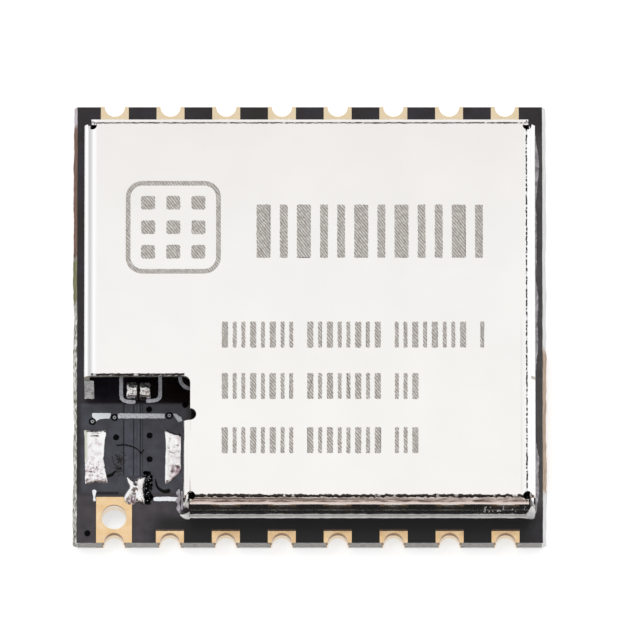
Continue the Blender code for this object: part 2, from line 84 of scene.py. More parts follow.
FAR = 20.0  # beyond the part, in millimetres


def new_material(name, colour, roughness, metallic=0.0):
    """A Principled material, with its tree, its shader and the place on a piece in millimetres."""
    material = bpy.data.materials.new(name)
    material.use_nodes = True
    tree = material.node_tree
    shader = tree.nodes["Principled BSDF"]
    shader.inputs["Base Color"].default_value = (*colour, 1.0)
    shader.inputs["Roughness"].default_value = roughness
    shader.inputs["Metallic"].default_value = metallic
    return material, tree, shader, millimetres(tree)


def add(tree, kind, sockets=None, **settings):
    """Add a node. A socket takes a number, a vector or another node's output."""
    made = tree.nodes.new(kind)
    for name, value in settings.items():
        setattr(made, name, value)
    for key, value in (sockets or {}).items():
        if isinstance(value, bpy.types.NodeSocket):
            tree.links.new(value, made.inputs[key])
        else:
            made.inputs[key].default_value = value
    return made


def maths(tree, operation, first, second=0.0, third=0.0):
    """A Math node's output."""
    sockets = {0: first, 1: second, 2: third}
    return add(tree, "ShaderNodeMath", sockets, operation=operation).outputs[0]


def times(tree, first, *others):
    """The product of some values."""
    for other in others:
        first = maths(tree, "MULTIPLY", first, other)
    return first


def highest(tree, first, *others):
    """The highest of some values."""
    for other in others:
        first = maths(tree, "MAXIMUM", first, other)
    return first


def millimetres(tree):
    """The place on the piece in millimetres."""
    place = add(tree, "ShaderNodeTexCoord").outputs["Object"]
    scaled = add(tree, "ShaderNodeVectorMath", {0: place, "Scale": 1 / MM}, operation="SCALE")
    return scaled.outputs[0]


def parted(tree, vector):
    """The three numbers of a vector."""
    return add(tree, "ShaderNodeSeparateXYZ", {0: vector}).outputs


def grain(tree, place, scale, detail=3.0, stretch=None):
    """Noise from 0 to 1. The scale is in waves for each millimetre."""
    if stretch is not None:
        place = add(tree, "ShaderNodeMapping", {"Vector": place, "Scale": stretch}).outputs[0]
    sockets = {"Vector": place, "Scale": scale, "Detail": detail}
    return add(tree, "ShaderNodeTexNoise", sockets).outputs["Fac"]


def ramp(tree, value, stops):
    """A colour ramp's output. Each stop is a place and a grey or a colour."""
    made = add(tree, "ShaderNodeValToRGB", {"Fac": value})
    elements = made.color_ramp.elements
    while len(elements) < len(stops):
        elements.new(0.5)
    for element, (place, colour) in zip(elements, stops):
        element.position = place
        triple = colour if isinstance(colour, tuple) else (colour,) * 3
        element.color = (*triple, 1.0)
    return made.outputs["Color"]


def mottled(tree, place, scale, detail, stops, stretch=None):
    """Noise through a colour ramp."""
    return ramp(tree, grain(tree, place, scale, detail, stretch), stops)


def mixed(tree, share, first, second, blend="MIX"):
    """Two colours mixed by a share."""
    made = add(tree, "ShaderNodeMix", data_type="RGBA", blend_type=blend)
    for index, value in ((0, share), (6, first), (7, second)):
        if isinstance(value, bpy.types.NodeSocket):
            tree.links.new(value, made.inputs[index])
        elif isinstance(value, tuple):
            made.inputs[index].default_value = (*value, 1.0)
        else:
            made.inputs[index].default_value = value
    return made.outputs[2]


def smooth(tree, value, start, end, before=0.0, after=1.0):
    """A soft step from one level to another between two values."""
    sockets = {0: value, 1: start, 2: end, 3: before, 4: after}
    made = add(tree, "ShaderNodeMapRange", sockets, interpolation_type="SMOOTHSTEP")
    return made.outputs[0]


def band(tree, value, low, high, fade):
    """1 between two values and 0 outside, with a soft edge."""
    rise = smooth(tree, value, low - fade, low + fade)
    fall = smooth(tree, value, high - fade, high + fade, 1.0, 0.0)
    return times(tree, rise, fall)


def bump(tree, shader, height, depth):
    """Relief of a depth in millimetres from a height of 0 to 1."""
    made = add(tree, "ShaderNodeBump", {"Height": height, "Distance": depth * MM})
    tree.links.new(made.outputs[0], shader.inputs["Normal"])


def colour_of(tree, shader, output):
    """Drive the base colour."""
    tree.links.new(output, shader.inputs["Base Color"])


def gloss_of(tree, shader, output):
    """Drive the roughness."""
    tree.links.new(output, shader.inputs["Roughness"])


# Materials


def mask_material():
    """Black solder mask: a clear gloss with a trace of violet and faint orange peel, lightened by
    painted sheen in three zones and darkened by painted shade along the front.
    """
    material, tree, shader, place = new_material("black_solder_mask", (0.006, 0.006, 0.008), 0.1)
    x, y, _ = parted(tree, place)
    tint = mottled(tree, place, 0.6, 3.0, [
        (0.35, (0.011, 0.007, 0.007)), (0.65, (0.017, 0.014, 0.020)),
    ])
    # Painted sheen: lighter tints on the connector footprint, the antenna corner and the strip
    # beside the right end stand in for light reflected by the mask; the footprint's tint stops
    # where the can mouth's shade begins.
    footprint = times(tree, band(tree, x, -8.2, -4.4, 0.1), band(tree, y, -6.2, -2.9, 0.06))
    tint = mixed(tree, footprint, tint, (0.048, 0.048, 0.064))
    corner = times(tree, band(tree, x, -9.0, -4.2, 0.3), band(tree, y, -9.0, -6.2, 0.2))
    tint = mixed(tree, corner, tint, (0.048, 0.041, 0.048))
    beside = times(tree, band(tree, x, 7.95, 9.0, 0.12), band(tree, y, -6.7, 6.8, 0.5))
    tint = mixed(tree, beside, tint, (0.068, 0.059, 0.061))
    # Painted shade: the strip along the front is darkened for the shadow and dark reflection of the
    # can's front wall, and made rougher.
    front = times(tree, band(tree, y, -9.0, -7.0, 0.25), band(tree, x, -5.6, 7.9, 0.5))
    tint = mixed(tree, front, tint, (0.003, 0.003, 0.0035))
    dusty = mottled(tree, place, 2.4, 4.0, [(0.3, 0.7), (0.7, 1.25)])
    colour_of(tree, shader, mixed(tree, 1.0, tint, dusty, "MULTIPLY"))
    clear = mottled(tree, place, 1.3, 4.0, [(0.4, 0.07), (0.8, 0.16)])
    gloss_of(tree, shader, mixed(tree, front, clear, (0.30, 0.30, 0.30)))
    shader.inputs["IOR"].default_value = 1.40
    bump(tree, shader, grain(tree, place, 9.0, 3.0), 0.0005)
    return material


def laminate_material():
    """Raw laminate: brown, green and pale at the snapped ends, grey at the routed edges."""
    material, tree, shader, place = new_material("raw_laminate", (0.4, 0.36, 0.3), 0.75)
    x, y, _ = parted(tree, place)
    fibre = grain(tree, place, 5.0, 5.0, (1.0, 0.35, 2.5))
    routed, brown, olive, tan, rosy, pale = [
        ramp(tree, fibre, [(0.3, low), (0.7, high)]) for low, high in (
            ((0.20, 0.19, 0.18), (0.52, 0.51, 0.49)), ((0.10, 0.055, 0.037), (0.25, 0.14, 0.10)),
            ((0.10, 0.10, 0.045), (0.26, 0.26, 0.13)), ((0.40, 0.28, 0.20), (0.74, 0.58, 0.45)),
            ((0.42, 0.37, 0.41), (0.66, 0.60, 0.64)), ((0.84, 0.84, 0.85), (0.99, 0.99, 0.99)),
        )
    ]
    drift = maths(tree, "ADD", y, times(tree, grain(tree, place, 1.5, 3.0), 0.8))
    left = mixed(tree, band(tree, drift, 2.9, 7.6, 0.15), rosy, brown)
    left = mixed(tree, band(tree, drift, 1.1, 2.9, 0.2), left, olive)
    flecked = mottled(tree, place, 13.0, 5.0, [
        (0.36, (0.10, 0.09, 0.06)), (0.46, (0.33, 0.34, 0.28)), (0.55, (0.56, 0.55, 0.52)),
        (0.66, (0.88, 0.87, 0.86)),
    ], (1.0, 0.45, 1.0))
    left = mixed(tree, band(tree, drift, -9.0, 1.1, 0.2), left, flecked)
    right = mixed(tree, band(tree, drift, -5.7, -0.5, 0.15), pale, tan)
    ends = mixed(tree, band(tree, x, 0.0, FAR, 0.01), left, right)
    is_end = band(tree, maths(tree, "ABSOLUTE", x), BOARD_END / MM - 0.2, FAR, 0.01)
    colour_of(tree, shader, mixed(tree, is_end, routed, ends))
    bump(tree, shader, fibre, 0.02)
    return material


def gold_material():
    """Thin gold plating: pale on the pads and in the holes, with a painted dark brown shadow band
    at the top of each barrel, and fine grain.
    """
    material, tree, shader, place = new_material("gold_plating", (0.86, 0.62, 0.36), 0.3, 1.0)
    x, y, z = parted(tree, place)
    pale = mottled(tree, place, 2.2, 4.0, [
        (0.3, (0.82, 0.55, 0.29)), (0.5, (0.87, 0.62, 0.35)), (0.75, (0.92, 0.71, 0.46)),
    ])
    back_row = times(tree, band(tree, y, 7.0, 9.0, 0.1), 0.7)
    pale = mixed(tree, back_row, pale, (0.76, 0.66, 0.48))
    shader.inputs["Specular Tint"].default_value = (0.85, 0.72, 0.6, 1.0)
    barrel = mottled(tree, place, 6.0, 4.0, [
        (0.3, (0.92, 0.84, 0.66)), (0.7, (1.0, 0.98, 0.85)),
    ])
    drilled = times(tree, band(tree, x, -7.55, -6.45, 0.02), band(tree, y, -7.56, -6.4, 0.02))
    barrel = mixed(tree, drilled, barrel, (1.0, 1.0, 0.97))
    # Painted shadow: a dark brown band at the top of each barrel, deep in the half holes and a thin
    # line in the antenna hole.
    wavy = grain(tree, place, 7.0, 2.0)
    rim_low = maths(tree, "MULTIPLY_ADD", wavy, 0.14, BOARD_TOP / MM - 0.46)
    rim_low = maths(tree, "MULTIPLY_ADD", drilled, 0.28, rim_low)
    rim = maths(tree, "GREATER_THAN", z, rim_low)
    barrel = mixed(tree, rim, barrel, (0.14, 0.05, 0.015))
    in_hole = band(tree, z, 0.02, BOARD_TOP / MM + 0.03, 0.01)
    colour_of(tree, shader, mixed(tree, in_hole, pale, barrel))
    dull = mottled(tree, place, 4.0, 3.0, [(0.3, 0.22), (0.7, 0.36)])
    gloss_of(tree, shader, mixed(tree, in_hole, dull, (0.15, 0.15, 0.15)))
    bump(tree, shader, grain(tree, place, 16.0, 3.0), 0.0012)
    return material


def crease(tree, value, line, width, wander, breaks):
    """A dark line along one value, with a ragged course and gaps."""
    away = maths(tree, "ABSOLUTE", maths(tree, "SUBTRACT", maths(tree, "ADD", value, wander), line))
    inside = smooth(tree, away, width * 0.4, width * 0.7, 1.0, 0.0)
    return times(tree, inside, breaks)


def tin_material():
    """Bright tinned sheet: satin face, with painted light and shade: a front-to-back sheen
    gradient, bands on the bends and dark ragged lines in the creases where it folds.
    """
    material, tree, shader, place = new_material("tinned_sheet", (0.9, 0.88, 0.86), 0.14, 1.0)
    x, y, z = parted(tree, place)
    side, front, back = CAN_SIDE / MM, CAN_FRONT / MM, CAN_BACK / MM
    mouth, notch, top = MOUTH_Y / MM, NOTCH_WALL_X / MM, CAN_TOP / MM
    # Painted sheen: the slightly warm face is lighter at the front and darker towards the back, a
    # gradient standing in for reflected light.
    fade = add(tree, "ShaderNodeMapRange", {0: y, 1: -7.0, 2: 7.0}).outputs[0]
    warm_with_sheen_gradient = ramp(tree, fade, [
        (0.0, (0.945, 0.93, 0.90)), (0.6, (0.925, 0.91, 0.89)), (1.0, (0.885, 0.86, 0.835)),
    ])
    cloud = mottled(tree, place, 0.45, 4.0, [(0.3, 0.965), (0.7, 1.0)])
    face = mixed(tree, 1.0, warm_with_sheen_gradient, cloud, "MULTIPLY")
    # Painted highlight and shade: white and grey bands along the left edge stand in for the light
    # and shade on the left wall's bend.
    left_bend_shading = ramp(tree, maths(tree, "ADD", x, side), [
        (0.0, 0.98), (0.025, 0.7), (0.05, 1.0), (0.10, 1.0), (0.135, 0.85), (0.165, 0.64),
        (0.215, 0.64), (0.27, 0.8), (0.33, 1.0), (0.45, 0.93),
    ])
    face = mixed(tree, band(tree, x, -FAR, -side + 0.44, 0.06), face, left_bend_shading)
    # Painted highlight: a white band along the right edge for the light on the right wall's bend;
    # painted shade: a faint grey line just inside it.
    face = mixed(tree, band(tree, x, side - 0.36, FAR, 0.02), face, (1.0, 1.0, 1.0))
    right_fold_shade_line = band(tree, x, side - 0.53, side - 0.48, 0.02)
    right_fold_shade_line = times(tree, right_fold_shade_line, band(tree, y, -7.0, -0.5, 0.6))
    face = mixed(tree, right_fold_shade_line, face, (0.83, 0.82, 0.81))

    shake = maths(tree, "SUBTRACT", grain(tree, place, 7.0, 5.0), 0.5)
    wander = times(tree, shake, 0.16)
    sway = times(tree, shake, 0.07)
    dashes = mottled(tree, place, 9.0, 2.0, [(0.42, 0.25), (0.5, 1.0)], (0.2, 1.0, 0.2))
    nearly = mottled(tree, place, 5.0, 2.0, [(0.3, 0.35), (0.42, 1.0)], (1.0, 0.2, 0.2))
    # Painted shade: dark ragged lines, with gaps, in the creases of the folds at the front, right,
    # back and mouth; the relief also presses them in as shallow grooves.
    front_line = crease(tree, y, front + 0.265, 0.095, wander, nearly)
    right_line = crease(tree, x, side - 0.31, 0.05, sway, dashes)
    back_line = crease(tree, y, back - 0.19, 0.045, sway, nearly)
    back_line = times(tree, back_line, band(tree, x, 0.4 - side, side - 0.45, 0.02))
    mouth_line = crease(tree, y, mouth + 0.04, 0.075, sway, nearly)
    mouth_line = times(tree, mouth_line, band(tree, x, -side + 0.25, notch + 0.05, 0.03))
    dark = highest(tree, front_line, right_line, back_line, mouth_line)
    dark = times(tree, dark, band(tree, z, top - 0.15, FAR, 0.02))
    # Painted reflection and shade on the front bend: streaked brown and pink, darker in a band just
    # below the top and pale pink lower down.
    folded = band(tree, z, top - 0.27, top - 0.012, 0.012)
    folded = times(tree, folded, band(tree, y, -FAR, front + 0.32, 0.02))
    streaks = grain(tree, place, 5.0, 5.0, (0.5, 2.2, 2.2))
    front_bend_reflection = ramp(tree, streaks, [
        (0.34, (0.38, 0.30, 0.27)), (0.48, (0.76, 0.64, 0.59)), (0.62, (0.96, 0.86, 0.81)),
    ])
    front_bend_shade = ramp(tree, streaks, [
        (0.36, (0.12, 0.08, 0.065)), (0.48, (0.34, 0.25, 0.21)), (0.62, (0.62, 0.51, 0.46)),
    ])
    for drop, below in ((0.09, front_bend_shade), (0.16, (0.78, 0.67, 0.62))):
        front_bend_reflection = mixed(tree, band(tree, z, 0.0, top - drop, 0.02), front_bend_reflection, below)
    face = mixed(tree, folded, face, front_bend_reflection)
    sheared = band(tree, y, mouth - 0.1, mouth + 0.012, 0.004)
    sheared = times(tree, sheared, band(tree, z, 0.0, top - 0.06, 0.01))
    face = mixed(tree, sheared, face, (0.62, 0.58, 0.53))
    colour_of(tree, shader, mixed(tree, dark, face, (0.03, 0.026, 0.024)))
    satin = mottled(tree, place, 3.0, 4.0, [(0.3, 0.09), (0.7, 0.15)])
    drawn = ramp(tree, streaks, [(0.35, 0.38), (0.65, 0.16)])
    gloss = mixed(tree, folded, satin, drawn)
    scored = band(tree, z, 1.93, 2.09, 0.03)
    scored = times(tree, scored, band(tree, y, -FAR, front + 0.02, 0.005), 0.35)
    gloss_of(tree, shader, mixed(tree, highest(tree, sheared, scored), gloss, (0.55,) * 3))
    fine = times(tree, grain(tree, place, 14.0, 4.0), 0.12)
    fine = maths(tree, "MULTIPLY_ADD", folded, streaks, fine)
    bump(tree, shader, maths(tree, "SUBTRACT", fine, dark), 0.006)
    return material


def solder_material():
    """Frozen solder: bright, with fine wrinkles, pinkish mottling and darker patches of painted
    shade.
    """
    material, tree, shader, place = new_material("solder", (0.87, 0.87, 0.86), 0.2, 1.0)
    x, y, _ = parted(tree, place)
    bright = mottled(tree, place, 4.0, 4.0, [
        (0.34, (0.70, 0.64, 0.66)), (0.46, (0.93, 0.92, 0.92)), (0.8, (0.97, 0.97, 0.97)),
    ])
    # Painted shade: an olive-grey strip along the left side of the left ground pool.
    bright = mixed(tree, band(tree, x, -8.2, -7.96, 0.06), bright, (0.62, 0.63, 0.53))
    pitted = mottled(tree, place, 9.0, 3.0, [
        (0.34, (0.40, 0.33, 0.36)), (0.46, (0.72, 0.66, 0.69)), (0.58, (0.97, 0.96, 0.97)),
    ])
    hollow_shade = mottled(tree, place, 7.0, 3.0, [
        (0.38, (0.16, 0.10, 0.11)), (0.55, (0.50, 0.40, 0.44)), (0.7, (0.85, 0.82, 0.84)),
    ])
    drift = maths(tree, "MULTIPLY_ADD", grain(tree, place, 3.0, 3.0), 0.6, y)
    # Painted shade: darker mottling on the left pool's wrinkled lower third, and darker patches in
    # the hollows of the signal pool and the right ground pool.
    for patch, west, east, south, north, fade in (
            (pitted, -8.2, -7.42, -6.0, -4.8, 0.25), (hollow_shade, -6.44, -6.22, -6.4, -5.98, 0.1),
            (hollow_shade, -4.96, -4.5, -5.45, -4.92, 0.1)):
        share = times(tree, band(tree, x, west, east, 0.06), band(tree, drift, south, north, fade))
        bright = mixed(tree, share, bright, patch)
    colour_of(tree, shader, bright)
    gloss_of(tree, shader, mottled(tree, place, 8.0, 3.0, [(0.35, 0.16), (0.7, 0.34)]))
    bump(tree, shader, grain(tree, place, 12.0, 3.0), 0.004)
    return material


def print_material():
    """Thin white screen print, with the mask's dark showing through its thin places, and painted
    light that whitens it at the left and towards the front.
    """
    material, tree, shader, place = new_material("screen_print", (0.62, 0.63, 0.68), 0.55)
    x, y, _ = parted(tree, place)
    thin = mottled(tree, place, 11.0, 4.0, [
        (0.3, (0.50, 0.50, 0.55)), (0.5, (0.74, 0.75, 0.81)), (0.8, (0.88, 0.89, 0.95)),
    ])
    # Painted light: the print at the left and towards the front is whiter, standing in for the
    # stronger light away from the can.
    lit_print = highest(tree, band(tree, x, -9.0, -6.95, 0.1), band(tree, y, -9.0, -6.0, 0.1))
    colour_of(tree, shader, mixed(tree, lit_print, thin, (0.92, 0.94, 0.98)))
    bump(tree, shader, grain(tree, place, 18.0, 3.0), 0.003)
    return material


def mark_material():
    """Laser marks: matt grey metal with a fine slanted hatch."""
    material, tree, shader, place = new_material("laser_mark", (0.45, 0.42, 0.39), 0.45, 1.0)
    x, y, _ = parted(tree, place)
    slant = maths(tree, "MULTIPLY_ADD", y, 0.8, x)
    shaken = maths(tree, "MULTIPLY_ADD", grain(tree, place, 5.0, 3.0), 0.12, slant)
    wave = maths(tree, "SINE", times(tree, shaken, 58.0))
    hatch = maths(tree, "MULTIPLY_ADD", wave, 0.3, grain(tree, place, 9.0, 3.0))
    colour_of(tree, shader, ramp(tree, hatch, [
        (0.2, (0.38, 0.345, 0.32)), (0.5, (0.49, 0.46, 0.43)), (0.85, (0.70, 0.68, 0.65)),
    ]))
    gloss_of(tree, shader, ramp(tree, hatch, [(0.2, 0.6), (0.8, 0.35)]))
    bump(tree, shader, hatch, 0.004)
    return material


def plain_material(name, colour, roughness, metallic, scale, depth, refraction=1.5, contrast=0.25):
    """A cast, fired or moulded surface: mottled colour with a fine matt relief."""
    material, tree, shader, place = new_material(name, colour, roughness, metallic)
    shader.inputs["IOR"].default_value = refraction
    low = tuple(value * (1 - contrast) for value in colour)
    high = tuple(min(1.0, value * (1 + contrast)) for value in colour)
    colour_of(tree, shader, mottled(tree, place, scale, 4.0, [(0.3, low), (0.7, high)]))
    bump(tree, shader, grain(tree, place, 2.5 * scale, 3.0), depth)
    return material


MASK = mask_material()
LAMINATE = laminate_material()
GOLD = gold_material()
TIN = tin_material()
SOLDER = solder_material()
PRINT = print_material()
MARK = mark_material()
CERAMIC = plain_material("ceramic", (0.42, 0.33, 0.26), 0.5, 0.0, 6.0, 0.003)
# Painted shade: a near-black copy of the ceramic for the small part in the can's mouth, where the
# can shades it.
SHADED_CERAMIC = plain_material("shaded_ceramic", (0.010, 0.008, 0.008), 0.5, 0.0, 6.0, 0.003, 1.2)
MOULDING = plain_material("black_moulding", (0.022, 0.022, 0.022), 0.6, 0.0, 8.0, 0.004)
TENTED = plain_material("tented_via", (0.003, 0.003, 0.004), 0.5, 0.0, 8.0, 0.001, 1.1)
VIA_METAL = plain_material("via_metal", (0.42, 0.42, 0.44), 0.4, 0.4, 20.0, 0.002)
FLUX = plain_material("flux_residue", (0.004, 0.004, 0.004), 0.35, 0.0, 9.0, 0.008, 1.15)
SCUFF = plain_material("scuffed_mask", (0.014, 0.012, 0.006), 0.35, 0.0, 12.0, 0.004, 1.2)
FILM = plain_material("dried_flux", (0.40, 0.38, 0.41), 0.35, 0.0, 5.0, 0.006, 1.45, 0.5)
# Painted shadow: dark brown for the line along the mask's edge at each front pad.
PAD_EDGE_SHADOW = plain_material("pad_edge_shadow", (0.075, 0.050, 0.040), 0.4, 0.0, 9.0, 0.002, 1.3)
DULL_SOLDER = plain_material("dull_solder", (0.92, 0.88, 0.87), 0.3, 0.2, 7.0, 0.012, 1.5, 0.6)
PALE_SOLDER = plain_material("pale_solder", (0.92, 0.91, 0.90), 0.4, 0.1, 5.0, 0.003, 1.5, 0.12)
# Painted sheen: the mask over the copper trace is lighter and violet; painted shade: the mask in
# the gaps beside it is darker.
TRACE_SHEEN = plain_material("mask_over_trace_sheen", (0.062, 0.063, 0.086), 0.15, 0.0, 3.0, 0.001, 1.4)
GAP_SHADE = plain_material("mask_gap_shade", (0.012, 0.012, 0.017), 0.2, 0.0, 3.0, 0.001, 1.3)


# Mesh helpers


def copied(node, whole_faces=True):
    """A CAD node's mesh as a bmesh with joined corners and, if wanted, whole flat faces."""
    shape = bmesh.new()
    shape.from_mesh(NODES[node].data)
    bmesh.ops.remove_doubles(shape, verts=shape.verts, dist=SEAT_GAP / 20)
    if whole_faces:
        bmesh.ops.dissolve_limit(
            shape, angle_limit=math.radians(0.5), verts=shape.verts, edges=shape.edges
        )
    return shape


def new_object(name, shape, materials=()):
    """Turn a bmesh into an object."""
    mesh = bpy.data.meshes.new(name)
    shape.to_mesh(mesh)
    shape.free()
    made = bpy.data.objects.new(name, mesh)
    bpy.context.scene.collection.objects.link(made)
    for material in materials:
        mesh.materials.append(material)
    return made


def piece(name, shape, materials, nodes=(), smooth_angle=None):
    """Turn a bmesh into a piece that rides on the module."""
    made = new_object(name, shape, materials)
    if smooth_angle is not None:
        made.data.shade_smooth()
        made.data.set_sharp_from_angle(angle=math.radians(smooth_angle))
    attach(made, "root")
    if nodes:
        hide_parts(*nodes)
    return made


def mm(points):
    """Points given in millimetres, in metres."""
    return [tuple(value * MM for value in point) for point in points]


def arc(centre, radius, start, end, steps=8):
    """Points along an arc, with its angles in degrees."""
    turns = [math.radians(start + (end - start) * i / steps) for i in range(steps + 1)]
    return [(centre[0] + radius * math.cos(t), centre[1] + radius * math.sin(t)) for t in turns]


def curve(points, steps=8, closed=False):
    """A smooth line through points."""
    count = len(points)
    places = [Vector(point) for point in points]
    line = []
    for i in range(count if closed else count - 1):
        picks = [i - 1, i, i + 1, i + 2]
        if closed:
            before, start, end, after = (places[k % count] for k in picks)
        else:
            before, start, end, after = (places[min(max(k, 0), count - 1)] for k in picks)
        for j in range(steps):
            t = j / steps
            pull = 2 * before - 5 * start + 4 * end - after
            turn = 3 * start - before - 3 * end + after
            line.append(tuple(0.5 * (2 * start + (end - before) * t + pull * t**2 + turn * t**3)))
    return line if closed else line + [tuple(places[-1])]


def bridge(shape, first, second):
    """Join two closed loops of as many corners by faces."""
    count = len(first)
    for i in range(count):
        following = (i + 1) % count
        shape.faces.new((first[i], second[i], second[following], first[following]))


def slab(shape, outline, low, high):
    """Add a closed prism between two levels to a bmesh. The outline runs anticlockwise."""
    under = [shape.verts.new((x, y, low)) for x, y in outline]
    over = [shape.verts.new((x, y, high)) for x, y in outline]
    shape.faces.new(list(reversed(under)))
    shape.faces.new(over)
    bridge(shape, over, under)


def round_rectangle(low, high, radius):
    """Outline of a rectangle with round corners, anticlockwise."""
    x0, y0, x1, y1 = low[0] + radius, low[1] + radius, high[0] - radius, high[1] - radius
    outline = []
    for i, centre in enumerate(((x1, y1), (x0, y1), (x0, y0), (x1, y0))):
        outline += arc(centre, radius, 90 * i, 90 * i + 90)
    return outline


def stroke(points, widths):
    """Outline of a line with round ends that follows points, with one width or one for each."""
    if not isinstance(widths, list):
        widths = [widths] * len(points)
    left = []
    right = []
    for i, (point, width) in enumerate(zip(points, widths)):
        before = Vector(points[max(i - 1, 0)])
        after = Vector(points[min(i + 1, len(points) - 1)])
        along = (after - before).normalized()
        across = Vector((-along.y, along.x)) * width / 2
        left.append(tuple(Vector(point) + across))
        right.append(tuple(Vector(point) - across))
    heading = math.degrees(math.atan2(points[-1][1] - points[-2][1], points[-1][0] - points[-2][0]))
    tip = arc(points[-1], widths[-1] / 2, heading - 90, heading + 90)[1:-1]
    heading = math.degrees(math.atan2(points[1][1] - points[0][1], points[1][0] - points[0][0]))
    tail = arc(points[0], widths[0] / 2, heading + 90, heading + 270)[1:-1]
    return right + tip + list(reversed(left)) + tail


def ragged(outline, amount, seed, step=0.04 * MM):
    """The outline with points added along it, each moved a little at random."""
    draw = random.Random(seed)
    moved = []
    for i, start in enumerate(outline):
        end = outline[(i + 1) % len(outline)]
        pieces = max(1, round(math.dist(start, end) / step))
        for j in range(pieces):
            share = j / pieces
            moved.append(tuple(
                start[k] + (end[k] - start[k]) * share + draw.uniform(-amount, amount)
                for k in range(2)
            ))
    return moved


def wrinkle(place, waves, seed):
    """Smooth noise from -1 to 1. The waves are for each millimetre."""
    return noise.noise(Vector(place) * waves / MM + Vector((seed * 7.3, seed * 3.1, seed * 5.7)))


# Board

END_STATIONS = 260
END_LEVELS = 5
END_RAGGED = 0.07 * MM
SCORE_RUN = 0.15 * MM
SCORE_DEPTH = 0.27 * MM
HALF_HOLE_CUT = 0.41 * MM
ANTENNA_HOLE_CUT = 0.50 * MM
ANTENNA_HOLE = Vector((-7.0, -7.06)) * MM
HOLE_SIDES = 64


def board_section():
    """Outline of the board in XZ, anticlockwise, with its snapped ends cut into levels."""
    slope = BOARD_END - SCORE_RUN
    low, high = BOARD_BOTTOM + SCORE_DEPTH, BOARD_TOP - SCORE_DEPTH
    levels = [low + (high - low) * i / END_LEVELS for i in range(END_LEVELS + 1)]
    right = [(slope, BOARD_BOTTOM)] + [(BOARD_END, z) for z in levels] + [(slope, BOARD_TOP)]
    return right + [(-x, z) for x, z in reversed(right)]


def make_board():
    """Board with a mask on both faces, rough snapped ends and holes for the terminals."""
    shape = bmesh.new()
    section = board_section()
    rings = []
    for i in range(END_STATIONS + 1):
        y = -BOARD_EDGE + 2 * BOARD_EDGE * i / END_STATIONS
        ring = []
        for x, z in section:
            side = math.copysign(1.0, x)
            depth = 0.5 + 0.5 * wrinkle((x, y, z), 1.8, side)
            depth += 0.25 * wrinkle((x, y, z), 7.0, side + 2)
            share = 1.0 if abs(x) > BOARD_END - SCORE_RUN / 2 else 0.3
            ring.append(shape.verts.new((x - side * END_RAGGED * share * max(0.0, depth), y, z)))
        rings.append(ring)
    for near, far in zip(rings, rings[1:]):
        bridge(shape, near, far)
    shape.faces.new(rings[0])
    shape.faces.new(list(reversed(rings[-1])))
    bmesh.ops.recalc_face_normals(shape, faces=shape.faces)
    solid = new_object("board_solid", shape)

    holes = bmesh.new()
    low, high = BOARD_BOTTOM - MM, BOARD_TOP + MM
    turn = 360 - 360 / HOLE_SIDES
    for y in (-BOARD_EDGE, BOARD_EDGE):
        for i in range(TERMINALS_PER_ROW):
            x = FIRST_TERMINAL + i * PITCH
            slab(holes, arc((x, y), HALF_HOLE_CUT, 0, turn, HOLE_SIDES - 1), low, high)
    slab(holes, arc(ANTENNA_HOLE, ANTENNA_HOLE_CUT, 0, turn, HOLE_SIDES - 1), low, high)
    tool = new_object("board_holes", holes)

    cut = solid.modifiers.new("holes", "BOOLEAN")
    cut.operation = "DIFFERENCE"
    cut.solver = "EXACT"
    cut.object = tool
    bpy.context.view_layer.update()
    graph = bpy.context.evaluated_depsgraph_get()
    mesh = bpy.data.meshes.new_from_object(solid.evaluated_get(graph))
    bpy.data.objects.remove(solid, do_unlink=True)
    bpy.data.objects.remove(tool, do_unlink=True)

    drilled = bmesh.new()
    drilled.from_mesh(mesh)
    bpy.data.meshes.remove(mesh)
    drilled.normal_update()
    for face in drilled.faces:
        face.material_index = 0 if abs(face.normal.z) > 0.9 else 1
    piece("board", drilled, [MASK, LAMINATE], ["circuit_board"])


# Terminals

BARREL_SMOOTH_ANGLE = 30


def make_terminals():
    """Gold terminals with round barrels."""
    for name in sorted(NODES):
        if name.startswith("terminal_"):
            shape = copied(name, whole_faces=False)
            piece("gold_" + name, shape, [GOLD], [name], BARREL_SMOOTH_ANGLE)


# Can

EDGE_ROUNDING = 0.012 * MM
MOUTH_ROUNDING = 0.07 * MM
MARK_RECESS = 0.004 * MM


def make_can():
    """The can with softened cut edges, and a rounded edge where its mouth was sheared."""
    shape = copied("shield_can")
    near_top = CAN_TOP - SEAT_GAP
    sheared = [
        edge for edge in shape.edges
        if all(v.co.z > near_top and v.co.y < MOUTH_Y + SEAT_GAP for v in edge.verts)
        and all(v.co.x < NOTCH_WALL_X + 0.5 * MM for v in edge.verts)
        and len(edge.link_faces) == 2
        and edge.calc_face_angle() > math.radians(60)
    ]
    bmesh.ops.bevel(
        shape, geom=sheared, offset=MOUTH_ROUNDING, offset_type="OFFSET", segments=4, profile=0.5,
        affect="EDGES", clamp_overlap=True,
    )
    for corner in shape.verts:
        corner.co.z = min(corner.co.z, CAN_TOP - MARK_RECESS)
    made = piece("can", shape, [TIN], ["shield_can"], 50)
    soften = made.modifiers.new("soften", "BEVEL")
    soften.width = EDGE_ROUNDING
    soften.segments = 2
    soften.limit_method = "ANGLE"
    soften.angle_limit = math.radians(50)
    even = made.modifiers.new("even", "WEIGHTED_NORMAL")
    even.keep_sharp = True


# Marks on the can: a square of dots and rows of plain ticks, with no letters

